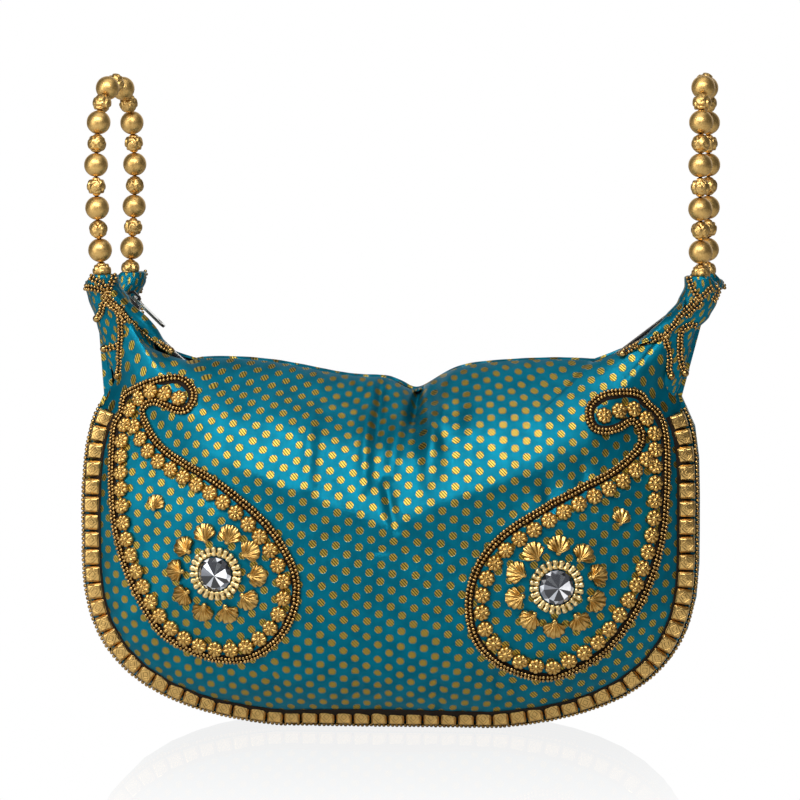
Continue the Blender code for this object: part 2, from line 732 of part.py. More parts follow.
def make_shells(ornament):
    centre = ornament.place((0.0, 0.0), 0.0)
    for i in range(SHELLS_PER_RING):
        angle = ornament.first_shell - 2 * math.pi * i / SHELLS_PER_RING
        outward = Vector((math.cos(angle), 0.0, math.sin(angle)))
        place = centre + outward * SHELL_RING_DIAMETER / 2 * PAISLEY_SCALE
        make_shell(f"{ornament.word}_shell_{i + 1:02d}", place, outward)
    lone = ornament.place(LONE_SHELL_OFFSET, 0.0)
    make_shell(f"{ornament.word}_lone_shell", lone, Vector((0.25, 0.0, 1.0)), LONE_SHELL_SIZE)


# Ears


def ear_axis(side, facing):
    # Foot and top of an ear's middle line; facing is -1 at the front and 1 at the back
    turn = LEFT_LOOP_TURN if side < 0 else RIGHT_LOOP_TURN
    shift = turn if facing > 0 else 0.0
    foot_depth = MOUTH_WIDTH / 2 + SEAM_GAP + EAR_FOOT_DEPTH / 2
    foot = Vector((side * EAR_FOOT_SPREAD / 2, facing * foot_depth, EAR_FOOT_HEIGHT))
    top = Vector((ear_top_x(side) + shift, facing * EAR_DEPTH_POSITION, EAR_TOP))
    return foot, top


def bottom_bead(side, facing):
    # Centre of the strand's lowest bead, seated in the ear's cup; the handle turns about it
    foot, top = ear_axis(side, facing)
    rise = SMALL_BEAD_DIAMETER / 2 + TURN_GAP - EAR_CUP_DEPTH
    return top + (top - foot).normalized() * rise


def make_panel_cutter(side, rings):
    # Solid under a panel's face with the seat gap added, from which the ears' feet are cut
    directions = seam_directions() + mouth_directions()
    bm = bmesh.new()
    pole = bm.verts.new(panel_point(math.pi / 2, 0.0, side, SEAM_GAP * 2))
    circles = []
    for share in rings:
        circles.append([bm.verts.new(panel_point(d, share, side, SEAM_GAP * 2)) for d in directions])
    flat = []
    for vertex in circles[-1]:
        flat.append(bm.verts.new((vertex.co.x, 0.0, vertex.co.z)))
    circles.append(flat)
    for i in range(len(directions)):
        bm.faces.new((pole, circles[0][i], circles[0][(i + 1) % len(directions)]))
    join_rings(bm, circles, closed=False)
    bm.faces.new(flat)
    bmesh.ops.recalc_face_normals(bm, faces=bm.faces)
    bmesh.ops.triangulate(bm, faces=bm.faces)
    word = "front" if side < 0 else "back"
    return hide_cutter(add_mesh(f"{word}_panel_cutter", bm, BROCADE))


def make_ear(side, facing, panel_cutter):
    # Pleated sleeve of brocade that narrows from the bag's corner to the cup
    word = ("left" if side < 0 else "right") + ("_front" if facing < 0 else "_back")
    foot, top = ear_axis(side, facing)
    axis = (top - foot).normalized()
    across = axis.cross(Vector((0.0, 1.0, 0.0))).normalized()
    inner_face = MOUTH_WIDTH / 2 + SEAM_GAP
    levels = ((0.0, EAR_FOOT_WIDTH / 2), (0.38, EAR_FOOT_WIDTH * 0.42),
              (0.72, EAR_WAIST_WIDTH / 2), (1.0, EAR_CUP_WIDTH / 2))
    sections = []
    for share, width in levels:
        ring = []
        thickness = min(width, abs(foot.lerp(top, share).y) - inner_face)
        for i in range(EAR_PLEATS * 2):
            angle = math.pi * i / EAR_PLEATS
            pleat = 1.0 - PLEAT_DEPTH * (i % 2)
            ring.append(foot.lerp(top, share) + across * math.cos(angle) * width * pleat
                        + Vector((0.0, math.sin(angle) * thickness * pleat, 0.0)))
        sections.append(ring)
    ear = loft(f"{word}_ear", sections, BROCADE, smooth=60)
    boolean(ear, panel_cutter, "DIFFERENCE")
    bm = bmesh.new()
    cup = (SMALL_BEAD_DIAMETER / 2 + TURN_GAP) * CUP_EASE
    bmesh.ops.create_uvsphere(bm, u_segments=10, v_segments=6, radius=cup)
    bmesh.ops.translate(bm, verts=bm.verts, vec=bottom_bead(side, facing))
    boolean(ear, hide_cutter(add_mesh(f"{word}_cup_cutter", bm, BROCADE)), "DIFFERENCE")

    rope = EAR_TRIM_DIAMETER / 2
    points = []
    for i in range(EAR_PLEATS * 2):
        angle = math.pi * i / EAR_PLEATS
        reach = EAR_CUP_WIDTH / 2 + SEAM_GAP * 2 + rope
        points.append(top - axis * rope * 1.5 + across * math.cos(angle) * reach
                      + Vector((0.0, math.sin(angle) * reach, 0.0)))
    tube(f"{word}_ear_trim", points, EAR_TRIM_DIAMETER, SEED_BEAD, resolution=0, closed=True)


# Handles


def make_handle(name, side):
    # Bead loop from the front cup over to the back cup, turning about its two lowest beads
    front, back = bottom_bead(side, -1), bottom_bead(side, 1)
    middle = (front + back) / 2
    hinge = (back - front).normalized()
    low_half = (back - front).length / 2
    high_half = LOOP_WIDTH / 2
    rise = LOOP_TOP - BIG_BEAD_DIAMETER / 2 - middle.z
    half = [(low_half, 0.0)] + [(high_half * width, height) for width, height in LOOP_PROFILE]
    profile = [(-y, z) for y, z in half] + [(0.0, 1.0)] + list(reversed(half))
    points = [middle + hinge * y + Vector((0.0, 0.0, rise * z)) for y, z in profile]
    pitch = (BIG_BEAD_DIAMETER + SMALL_BEAD_DIAMETER) / 2
    slices = 12
    fine = smooth_path(points, pitch / slices)
    beads = 2 * round((len(fine) - 1) / slices / 2)
    shrink = (len(fine) - 1) / slices / beads
    sideways = hinge.cross(Vector((0.0, 0.0, 1.0))).normalized()

    def ring(position, radius):
        index = min(len(fine) - 1.0001, max(0.0, position * (len(fine) - 1) / beads))
        whole = int(index)
        centre = fine[whole].lerp(fine[whole + 1], index - whole)
        along = (fine[whole + 1] - fine[whole]).normalized()
        overrun = position * (len(fine) - 1) / beads - index
        centre = centre + along * overrun * pitch / slices
        outward = along.cross(sideways)
        return [centre + (sideways * math.cos(a) + outward * math.sin(a)) * radius
                for a in (2 * math.pi * k / 6 for k in range(6))]

    sections = [ring(-SMALL_BEAD_DIAMETER / 2 / pitch / shrink, BEAD_NECK_DIAMETER * 0.3)]
    for i in range(beads + 1):
        radius = (BIG_BEAD_DIAMETER if i % 2 else SMALL_BEAD_DIAMETER) / 2 * min(1.0, shrink)
        places = (-0.62, 0.0, 0.62) if i % 2 else (-0.5, 0.5)
        for place in places:
            sections.append(ring(i + place * radius / pitch / shrink, radius * math.sqrt(1 - place ** 2)))
        if i < beads:
            contact = i + radius / pitch / shrink
            sections.append(ring(contact, BEAD_NECK_DIAMETER / 2))
    sections.append(ring(beads + SMALL_BEAD_DIAMETER / 2 / pitch / shrink, BEAD_NECK_DIAMETER * 0.3))
    pivot = bpy.data.objects.new(f"{name}_pivot", None)
    pivot.location = middle
    bag_parts.objects.link(pivot)
    sections = [[point - middle for point in section] for section in sections]
    handle = loft(name, sections, SATIN_GOLD, smooth=70)
    handle.parent = pivot


# Zip


def zip_line():
    # Middle of the zip from the left ear down to the mouth, along it and up to the right ear
    foot_direction = math.atan2(TOP_HEIGHT - WIDEST_HEIGHT, SLOPE_FOOT_SPREAD / 2)

    def slope(side):
        direction = foot_direction if side > 0 else math.pi - foot_direction
        foot = rim_point(direction, GUSSET_CROWN) - Vector((0.0, 0.0, TAPE_DROP))
        top = Vector((ear_top_x(side), 0.0, SLOPE_TOP_HEIGHT))
        return foot, top

    left_foot, left_top = slope(-1)
    right_foot, right_top = slope(1)
    mouth = []
    for direction in spread_directions(15, math.pi - foot_direction, foot_direction):
        mouth.append(rim_point(direction, GUSSET_CROWN) - Vector((0.0, 0.0, TAPE_DROP)))
    mouth = mouth[1:-1]

    def bend(foot, top, inner):
        start = foot + (top - foot).normalized() * SLOPE_KNEE
        return [start, start.lerp(foot, 0.55).lerp(foot.lerp(inner, 0.3), 0.4), foot.lerp(inner, 0.45)]

    left = [left_top, *bend(left_foot, left_top, mouth[0])]
    right = [*reversed(bend(right_foot, right_top, mouth[-1])), right_top]
    return left + mouth + right


def zip_strip(name, line, inner, outer, height, material):
    sections = []
    for i, point in enumerate(line):
        along = (line[min(i + 1, len(line) - 1)] - line[max(i - 1, 0)]).normalized()
        up = Vector((-along.z, 0.0, along.x)) * height / 2
        edges = (Vector((0.0, inner, 0.0)), Vector((0.0, outer, 0.0)))
        sections.append([point + edges[0] - up, point + edges[1] - up, point + edges[1] + up,
                         point + edges[0] + up])
    return loft(name, sections, material)


def make_zip():
    line = zip_line()
    tape_edge = MOUTH_WIDTH / 2
    zip_strip("front_zip_tape", line, -tape_edge, -TAPE_INNER_HALF, TAPE_THICKNESS, TAPE)
    zip_strip("back_zip_tape", line, TAPE_INNER_HALF, tape_edge, TAPE_THICKNESS, TAPE)
    down_left = (line[1] - line[0]).normalized()
    down_right = (line[-2] - line[-1]).normalized()
    chain = [line[0] + down_left * STOP_LENGTH * 1.5, *line[1:-1], line[-1] + down_right * SLIDER_PLACE]
    zip_strip("zip_teeth", chain, -CHAIN_WIDTH / 2, CHAIN_WIDTH / 2, CHAIN_HEIGHT, STEEL)
    make_stop("zip_top_stop", line[0] + down_left * STOP_LENGTH * 0.8, down_left)
    make_stop("zip_end_stop", line[-1] + down_right * (SLIDER_PLACE - STOP_LENGTH), down_right)
    make_slider(line[0] + down_left * SLIDER_PLACE, down_left)


def slope_frame(origin, along):
    # Matrix with x along the zip, y across it and z out of the bag
    across = Vector((0.0, 1.0, 0.0)) if along.x > 0 else Vector((0.0, -1.0, 0.0))
    normal = along.cross(across)
    frame = Matrix((along, across, normal)).transposed().to_4x4()
    frame.translation = origin
    return frame


def box(name, size, centre, material):
    bm = bmesh.new()
    bmesh.ops.create_cube(bm, size=1.0)
    bmesh.ops.scale(bm, verts=bm.verts, vec=size)
    bmesh.ops.translate(bm, verts=bm.verts, vec=centre)
    return add_mesh(name, bm, material)


def make_stop(name, origin, along):
    # Metal stop clamped over both tapes
    height = CHAIN_HEIGHT / 2
    low = TAPE_THICKNESS / 2 + SEAM_GAP
    stop = box(name, (STOP_LENGTH * 0.7, TAPE_INNER_HALF * 4, height), (0.0, 0.0, low + height / 2), STEEL)
    stop.matrix_world = slope_frame(origin, along)


def make_slider(origin, along):
    frame = slope_frame(origin, along)
    low = TAPE_THICKNESS / 2 + SEAM_GAP
    top = low + SLIDER_HEIGHT
    size = (SLIDER_LENGTH, SLIDER_WIDTH, SLIDER_HEIGHT)
    slider = box("zip_slider", size, (0.0, 0.0, low + SLIDER_HEIGHT / 2), TAPE)
    slider.matrix_world = frame
    rounding = slider.modifiers.new("rounding", "BEVEL")
    rounding.width = SLIDER_WALL
    rounding.segments = 1
    channel_top = CHAIN_HEIGHT / 2 + SEAM_GAP
    channel = box("channel_cutter", (SLIDER_LENGTH * 2, CHAIN_WIDTH + 2 * SEAM_GAP, channel_top * 2),
                  (0.0, 0.0, 0.0), TAPE)
    channel.matrix_world = frame
    boolean(slider, hide_cutter(channel), "DIFFERENCE")
    reach, rise = BAIL_LENGTH / 2, top + BAIL_RISE - BAIL_DIAMETER / 2
    sunk = top - SLIDER_WALL
    path = ((-reach, 0.0, sunk), (-reach, 0.0, rise - BAIL_DIAMETER), (-reach * 0.6, 0.0, rise),
            (reach * 0.6, 0.0, rise), (reach, 0.0, rise - BAIL_DIAMETER), (reach, 0.0, sunk))
    bail = tube("bail_cutter", path, BAIL_DIAMETER, STEEL)
    bail.matrix_world = frame
    boolean(slider, hide_cutter(as_mesh(bail)), "UNION")

    pivot = bpy.data.objects.new("zip_pull_pivot", None)
    bag_parts.objects.link(pivot)
    pivot.matrix_world = frame @ Matrix.Translation((0.0, 0.0, top + SEAM_GAP + PULL_THICKNESS / 2))
    curve = bpy.data.curves.new("zip_pull", "CURVE")
    curve.dimensions = "2D"
    curve.fill_mode = "BOTH"
    curve.extrude = PULL_THICKNESS / 2
    head, end, half = -PULL_BAR / 2, PULL_LENGTH - PULL_BAR / 2, PULL_WIDTH / 2
    corner = half * 0.6
    window = PULL_WINDOW_WIDTH / 2
    window_end = PULL_BAR / 2 + PULL_WINDOW_LENGTH
    hole_x = end - half
    outlines = [
        [(head, -half * 0.8), (end - corner, -half), (end, -half + corner), (end, half - corner),
         (end - corner, half), (head, half * 0.8)],
        [(PULL_BAR / 2, -window), (PULL_BAR / 2, window), (window_end, window), (window_end, -window)],
        [(hole_x + PULL_HOLE_DIAMETER / 2 * math.cos(math.pi * k / 4),
          PULL_HOLE_DIAMETER / 2 * math.sin(math.pi * k / 4)) for k in range(8)],
    ]
    for outline in outlines:
        spline = curve.splines.new("POLY")
        spline.points.add(len(outline) - 1)
        spline.use_cyclic_u = True
        for place, point in zip(spline.points, outline):
            place.co = (*point, 0.0, 1.0)
    curve.materials.append(STEEL)
    pull = bpy.data.objects.new("zip_pull", curve)
    bag_parts.objects.link(pull)
    pull.parent = pivot


# The whole bag

make_panel("front_panel", -1, FRONT_RINGS)
make_panel("back_panel", 1, BACK_RINGS)
make_gusset()
make_stud_row()
seam_string("rim_bead_string", -1, SEAM_STRING_DIAMETER, SEED_BEAD, 54)
seam_string("back_piping", 1, PIPING_DIAMETER, BROCADE, 42)
left_paisley = Ornament("left", -1, LEFT_PAISLEY_SHIFT, TOP_HEIGHT * LEFT_PAISLEY_SHARE,
                        LEFT_FLOWER_PATH, LEFT_OUTLINE_PATH, math.radians(106))
right_paisley = Ornament("right", 1, RIGHT_PAISLEY_SHIFT, TOP_HEIGHT * RIGHT_PAISLEY_SHARE,
                         RIGHT_FLOWER_PATH, RIGHT_OUTLINE_PATH, math.radians(87))
for paisley in (left_paisley, right_paisley):
    make_flower_chain(paisley)
    make_outline(paisley)
    make_rondelle_ring(paisley)
    make_crystal(paisley)
    make_shells(paisley)
front_cutter = make_panel_cutter(-1, FRONT_RINGS)
back_cutter = make_panel_cutter(1, BACK_RINGS)
for ear_side in (-1, 1):
    make_ear(ear_side, -1, front_cutter)
    make_ear(ear_side, 1, back_cutter)
make_handle("left_handle", -1)
make_handle("right_handle", 1)
make_zip()
bpy.context.view_layer.update()
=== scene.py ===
# Half-moon brocade evening bag with beaded paisleys, a stud rim and two bead loop handles
import bpy
import math
from mathutils import Matrix, Vector, noise
from mathutils.bvhtree import BVHTree


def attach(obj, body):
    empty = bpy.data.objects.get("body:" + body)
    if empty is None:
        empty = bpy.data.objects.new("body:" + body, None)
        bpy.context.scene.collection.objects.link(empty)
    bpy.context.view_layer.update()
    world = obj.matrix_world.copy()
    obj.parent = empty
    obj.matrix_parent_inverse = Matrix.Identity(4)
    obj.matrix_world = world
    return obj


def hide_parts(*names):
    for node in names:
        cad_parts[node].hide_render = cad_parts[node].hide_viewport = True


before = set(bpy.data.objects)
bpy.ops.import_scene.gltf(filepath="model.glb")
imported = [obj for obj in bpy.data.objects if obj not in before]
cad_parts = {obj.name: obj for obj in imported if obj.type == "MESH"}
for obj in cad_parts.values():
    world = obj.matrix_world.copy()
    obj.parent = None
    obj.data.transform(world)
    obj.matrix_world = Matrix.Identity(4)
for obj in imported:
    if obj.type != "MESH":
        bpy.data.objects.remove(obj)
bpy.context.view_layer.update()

scene = bpy.context.scene
scene.view_settings.view_transform = "Standard"
# The beads are scattered the same way in every run
noise.seed_set(1)

# Sizes of the bag's body in metres, as in the CAD
bag = {
    "width": 0.280,
    "topHeight": 0.169,
    "widestHeight": 0.085,
    "lowerRoundness": 2.9,
    "upperRoundness": 5.0,
    "footFlattening": 0.0015,
    "topSag": 0.007,
    "notchX": 0.015,
    "notchDepth": 0.0085,
    "notchReach": 0.013,
    "dipX": -0.022,
    "dipDepth": 0.0045,
    "dipReach": 0.032,
    "gussetWidth": 0.040,
    "gussetCrown": 0.0026,
    "mouthWidth": 0.014,
    "taperStart": 0.100,
    "taperEnd": 0.150,
    "frontBulge": 0.032,
    "backBulge": 0.028,
    "hem": 0.0023,
    "domeRoundness": 3.0,
    "domeFullness": 0.9,
    "foldDepth": 0.0030,
    "foldPitch": 0.017,
    "foldReach": 0.024,
    "foldEnd": 0.092,
    "studRowTop": 0.145,
}
centre = Vector((0.0, 0.0, bag["widestHeight"]))


def smoothstep(low, high, value):
    share = min(1.0, max(0.0, (value - low) / (high - low)))
    return share * share * (3.0 - 2.0 * share)


def rimRadius(direction, inset=0.0):
    # Distance from the body's centre to the outline in a direction seen from the front
    upper = math.sin(direction) > 0.0
    halfWidth = bag["width"] / 2 - inset
    lowerReach = bag["widestHeight"] + bag["footFlattening"] - inset
    upperReach = bag["topHeight"] - bag["widestHeight"] - inset
    reach = upperReach if upper else lowerReach
    power = bag["upperRoundness"] if upper else bag["lowerRoundness"]
    across = (abs(math.cos(direction)) / halfWidth) ** power
    along = (abs(math.sin(direction)) / reach) ** power
    radius = (across + along) ** (-1.0 / power)
    if upper:
        x = radius * math.cos(direction)
        sag = bag["topSag"] * max(0.0, 1.0 - (x / halfWidth) ** 2) ** 2
        notch = bag["notchDepth"] * math.exp(-((x - bag["notchX"]) / bag["notchReach"]) ** 2)
        dip = bag["dipDepth"] * math.exp(-((x - bag["dipX"]) / bag["dipReach"]) ** 2)
        return radius - (sag + notch + dip) * math.sin(direction)
    return min(radius, (bag["widestHeight"] - inset) / max(1e-6, -math.sin(direction)))


def rimPoint(direction, inset=0.0):
    radius = rimRadius(direction, inset)
    return centre + Vector((math.cos(direction), 0.0, math.sin(direction))) * radius


def halfDepth(height):
    share = smoothstep(bag["taperStart"], bag["taperEnd"], height)
    return (bag["gussetWidth"] * (1.0 - share) + bag["mouthWidth"] * share) / 2


def spreadDirections(count, start, end, crowding=0.0):
    # Directions at even steps along the outline, closer together round the notch
    steps = 1440
    fine = [start + (end - start) * i / steps for i in range(steps + 1)]
    points = [rimPoint(direction) for direction in fine]
    lengths = [0.0]
    for a, b in zip(points, points[1:]):
        weight = 1.0
        if a.z > bag["widestHeight"]:
            weight += crowding * math.exp(-((a.x - bag["notchX"]) / bag["foldReach"]) ** 2)
        lengths.append(lengths[-1] + (b - a).length * weight)
    found, index = [], 0
    for i in range(count + 1):
        wanted = lengths[-1] * i / count
        while index < steps - 1 and lengths[index + 1] < wanted:
            index += 1
        share = (wanted - lengths[index]) / (lengths[index + 1] - lengths[index])
        found.append(fine[index] + (fine[index + 1] - fine[index]) * share)
    return found


def directionAtHeight(height):
    low, high = 0.0, math.pi / 4
    for _ in range(40):
        middle = (low + high) / 2
        if rimPoint(middle).z < height:
            low = middle
        else:
            high = middle
    return low


def gather(x, z):
    share = smoothstep(bag["foldEnd"], bag["topHeight"], z)
    offset = x - bag["notchX"]
    fade = math.exp(-(offset / bag["foldReach"]) ** 2)
    return bag["foldDepth"] * share * math.cos(2 * math.pi * offset / bag["foldPitch"]) * fade


def panelPoint(direction, share, side, grow=0.0, gathered=True):
    # Point of a panel's face: share is 0 at the middle of the dome and 1 at its seam
    edge = rimPoint(direction, bag["gussetCrown"] - grow)
    x = edge.x * share
    z = centre.z + (edge.z - centre.z) * share
    bulge = bag["frontBulge"] if side < 0 else bag["backBulge"]
    dome = max(0.0, 1.0 - share ** bag["domeRoundness"]) ** bag["domeFullness"]
    base = halfDepth(edge.z) * share ** 2 + bag["gussetWidth"] / 2 * (1.0 - share ** 2)
    depth = base + bag["hem"] + bulge * dome + grow
    if gathered:
        depth -= gather(x, z) * min(1.0, 4 * (1 - share))
    return Vector((x, side * depth, z))


frontSurface = {}


def onFront(x, z, lift=0.0, reach=0.0022):
    # Point and outward normal of the front panel's face at a place seen from the front
    def face(px, pz):
        hit = frontSurface["tree"].ray_cast(Vector((px, -0.2, pz)), Vector((0.0, 1.0, 0.0)))[0]
        return hit if hit is not None else Vector((px, -halfDepth(pz) - bag["hem"], pz))

    alongX = face(x + reach, z) - face(x - reach, z)
    alongZ = face(x, z + reach) - face(x, z - reach)
    normal = alongX.cross(alongZ).normalized()
    return face(x, z) + normal * lift, normal


def smoothPath(points, spacing, closed=False, place=None):
    # Curve through the points, put in place, then stepped evenly along its length
    points = [Vector(point) for point in points]
    count = len(points)
    fine = []
    for i in range(count if closed else count - 1):
        if closed:
            p0, p1, p2, p3 = (points[(i + k) % count] for k in (-1, 0, 1, 2))
        else:
            p0, p1 = points[max(0, i - 1)], points[i]
            p2, p3 = points[i + 1], points[min(count - 1, i + 2)]
        for k in range(24):
            t = k / 24
            bend = (2 * p0 - 5 * p1 + 4 * p2 - p3) * t ** 2 + (3 * p1 - p0 - 3 * p2 + p3) * t ** 3
            fine.append(0.5 * (2 * p1 + (p2 - p0) * t + bend))
    fine.append(points[0] if closed else points[-1])
    if place:
        fine = [place(point) for point in fine]
    lengths = [0.0]
    for a, b in zip(fine, fine[1:]):
        lengths.append(lengths[-1] + (b - a).length)
    steps = max(2, round(lengths[-1] / spacing))
    found, index = [], 0
    for i in range(steps if closed else steps + 1):
        wanted = lengths[-1] * i / steps
        while index < len(fine) - 2 and lengths[index + 1] < wanted:
            index += 1
        share = (wanted - lengths[index]) / max(1e-12, lengths[index + 1] - lengths[index])
        found.append(fine[index].lerp(fine[index + 1], share))
    return found


# Mesh helpers

def addMesh(name, vertices, faces, material, body="bag", smooth=180.0, uv=None, materials=None):
    # A new piece that rides on a CAD body; uv holds one pair for each vertex
    mesh = bpy.data.meshes.new(name)
    mesh.from_pydata([tuple(v) for v in vertices], [], faces)
    for used in ([material] if material else []) + (materials or []):
        mesh.materials.append(used)
    if smooth:
        mesh.shade_smooth()
        if smooth < 180.0:
            mesh.set_sharp_from_angle(angle=math.radians(smooth))
    if uv:
        layer = mesh.uv_layers.new(name="cloth")
        for loop in mesh.loops:
            layer.data[loop.index].uv = uv[loop.vertex_index]
    mesh.update()
    made = bpy.data.objects.new(name, mesh)
    scene.collection.objects.link(made)
    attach(made, body)
    return made


def gridFaces(rows, columns, closed, start=0):
    # Quads between rows of points, each row closed or open
    faces = []
    for i in range(rows - 1):
        for j in range(columns if closed else columns - 1):
            k = (j + 1) % columns
            a, b = start + i * columns, start + (i + 1) * columns
            faces.append((a + j, a + k, b + k, b + j))
    return faces


def gridBorder(rows, columns):
    # The outer points of an open grid, in order round it
    border = list(range(columns))
    border += [(i + 1) * columns - 1 for i in range(1, rows)]
    border += [(rows - 1) * columns + j for j in range(columns - 2, -1, -1)]
    border += [i * columns for i in range(rows - 2, 0, -1)]
    return border


class Builder:
    # Collects many small solids into one mesh
    def __init__(self):
        self.vertices, self.faces, self.slots, self.uv = [], [], [], []

    def add(self, vertices, faces, slot=0, uv=None):
        start = len(self.vertices)
        self.vertices += vertices
        self.uv += uv or [(0.0, 0.0)] * len(vertices)
        self.faces += [tuple(start + i for i in face) for face in faces]
        self.slots += [slot] * len(faces)

    def place(self, shape, matrix, slot=0, uv=None):
        self.add([matrix @ v for v in shape[0]], shape[1], slot, uv)

    def make(self, name, materials, body="bag", smooth=180.0):
        made = addMesh(name, self.vertices, self.faces, None, body, smooth, self.uv, materials)
        for polygon, slot in zip(made.data.polygons, self.slots):
            polygon.material_index = slot
        return made


def revolve(profile, steps, ripple=None):
    # Closed solid about +Z from (radius, height) pairs, bottom to top; ripple scales the radius
    vertices, faces = [], []
    for radius, height in profile:
        for j in range(steps):
            angle = 2 * math.pi * j / steps
            r, z = (radius, height) if ripple is None else ripple(radius, height, angle)
            vertices.append(Vector((r * math.cos(angle), r * math.sin(angle), z)))
    faces = gridFaces(len(profile), steps, True)
    vertices.append(Vector((0.0, 0.0, profile[0][1])))
    vertices.append(Vector((0.0, 0.0, profile[-1][1])))
    low, high = len(vertices) - 2, len(vertices) - 1
    last = (len(profile) - 1) * steps
    for j in range(steps):
        k = (j + 1) % steps
        faces.append((low, k, j))
        faces.append((high, last + j, last + k))
    return vertices, faces


def ballShape(diameter, steps=10, rings=7, flat=1.0):
    # A bead, flattened by flat along its own Z
    profile = []
    for i in range(1, rings):
        angle = math.pi * i / rings - math.pi / 2
        profile.append((diameter / 2 * math.cos(angle), diameter / 2 * math.sin(angle) * flat))
    return revolve([(1e-5, -diameter / 2 * flat)] + profile + [(1e-5, diameter / 2 * flat)], steps)


def addStrip(row, lines, lift, slot, closed):
    # Thin dark strip on the front panel under a row of trim, from lines of places across it; it paints the
    # shade between the trim and the cloth
    count, across = len(lines), len(lines[0])
    vertices = []
    for line in lines:
        top = [onFront(x, z, lift)[0] for x, z in line]
        low = [onFront(x, z, -0.0003)[0] for x, z in reversed(line)]
        vertices += top + low
    size = 2 * across
    faces = gridFaces(count, size, True)
    if closed:
        last = (count - 1) * size
        faces += [(last + j, last + (j + 1) % size, (j + 1) % size, j) for j in range(size)]
    else:
        faces += [tuple(range(size - 1, -1, -1)), tuple(range(len(vertices) - size, len(vertices)))]
    row.add(vertices, faces, slot)


def facing(origin, normal, along=None):
    # Matrix with Z along normal and X along the given direction
    z = normal.normalized()
    x = along if along is not None else Vector((1.0, 0.0, 0.0))
    x = (x - z * x.dot(z))
    if x.length < 1e-6:
        x = z.orthogonal()
    x.normalize()
    y = z.cross(x)
    matrix = Matrix((x, y, z)).transposed().to_4x4()
    matrix.translation = origin
    return matrix


# Materials

def newMaterial(name, colour, roughness, metallic=0.0, **sockets):
    made = bpy.data.materials.new(name)
    made.use_nodes = True
    shader = made.node_tree.nodes["Principled BSDF"]
    shader.inputs["Base Color"].default_value = (*colour, 1.0)
    shader.inputs["Roughness"].default_value = roughness
    shader.inputs["Metallic"].default_value = metallic
    for socket, value in sockets.items():
        shader.inputs[socket.replace("_", " ")].default_value = value
    return made


class Nodes:
    # Short way to add and link shader nodes
    def __init__(self, material):
        self.tree = material.node_tree
        self.shader = self.tree.nodes["Principled BSDF"]

    def add(self, kind, inputs=(), output=0, **settings):
        node = self.tree.nodes.new(kind)
        for key, value in settings.items():
            setattr(node, key, value)
        for index, value in enumerate(inputs):
            if value is None:
                continue
            if isinstance(value, bpy.types.NodeSocket):
                self.tree.links.new(value, node.inputs[index])
            else:
                node.inputs[index].default_value = value
        return node.outputs[output]

    def math(self, operation, *inputs):
        return self.add("ShaderNodeMath", inputs, operation=operation)

    def vector(self, operation, *inputs):
        output = 1 if operation in ("LENGTH", "DISTANCE", "DOT_PRODUCT") else 0
        return self.add("ShaderNodeVectorMath", inputs, output=output, operation=operation)

    def step(self, value, low, high, start=0.0, end=1.0):
        inputs = (value, low, high, start, end)
        return self.add("ShaderNodeMapRange", inputs, interpolation_type="SMOOTHSTEP")

    def parts(self, vector):
        # The X, Y and Z sockets of a vector
        split = self.tree.nodes.new("ShaderNodeSeparateXYZ")
        self.tree.links.new(vector, split.inputs[0])
        return split.outputs

    def mix(self, share, first, second):
        node = self.tree.nodes.new("ShaderNodeMix")
        node.data_type = "RGBA"
        for index, value in ((0, share), (6, first), (7, second)):
            socket = node.inputs[index]
            if isinstance(value, bpy.types.NodeSocket):
                self.tree.links.new(value, socket)
            else:
                socket.default_value = value
        return node.outputs[2]

    def noise(self, scale, detail=2.0, where=None):
        return self.add("ShaderNodeTexNoise", (where, None, scale, detail))

    def bump(self, height, distance, strength=1.0, normal=None):
        node = self.tree.nodes.new("ShaderNodeBump")
        node.inputs["Strength"].default_value = strength
        node.inputs["Distance"].default_value = distance
        self.tree.links.new(height, node.inputs["Height"])
        if normal is not None:
            self.tree.links.new(normal, node.inputs["Normal"])
        return node.outputs[0]

    def use(self, socket, value):
        self.tree.links.new(value, self.shader.inputs[socket])


# Cloth settings: dot lattice in metres, colours linear
cloth = {
    "columnPitch": 0.0052,
    "rowPitch": 0.0074,
    "dotDiameter": 0.0036,
    "turn": math.radians(3.0),
    "stripePitch": 0.00145,
    "warpPitch": 0.00033,
    "weftPitch": 0.0005,
    "weaveHeight": 0.22,
    "reliefDepth": 0.00012,
    "teal": (0.0, 0.150, 0.230),
    "wornShare": 0.74,
    "patchScale": 110.0,
    "satin": 0.62,
    "dotShine": 0.35,
    "dotGold": (0.50, 0.355, 0.062),
    "dotShade": (0.075, 0.070, 0.020),
    "roughness": 0.36,
    "aroundRadius": 0.125,
    "earSlope": (0.722, 0.692),
    "earFoot": 0.152,
}


def gussetPlace(nodes):
    # Flat place of the pattern: round the gusset, and up the slopes and faces of the ears' foot
    place = nodes.add("ShaderNodeTexCoord", output=3)
    x, y, z = nodes.parts(place)
    turn = nodes.math("ARCTAN2", nodes.math("SUBTRACT", z, bag["widestHeight"]), x)
    walked = nodes.math("MULTIPLY", turn, cloth["aroundRadius"])
    around = nodes.add("ShaderNodeCombineXYZ", (walked, y, 0.0))
    rise = nodes.math("MULTIPLY", nodes.math("MULTIPLY", z, nodes.math("SIGN", x)), cloth["earSlope"][1])
    down = nodes.math("ADD", nodes.math("MULTIPLY", x, cloth["earSlope"][0]), rise)
    slope = nodes.add("ShaderNodeCombineXYZ", (down, y, 0.0))
    flat = nodes.add("ShaderNodeCombineXYZ", (x, z, 0.0))
    normal = nodes.parts(nodes.vector("ABSOLUTE", nodes.add("ShaderNodeNewGeometry", output=1)))
    sideways = nodes.math("GREATER_THAN", normal[1], 0.6)
    high = nodes.math("GREATER_THAN", z, cloth["earFoot"])
    return nodes.mix(high, around, nodes.mix(sideways, slope, flat))


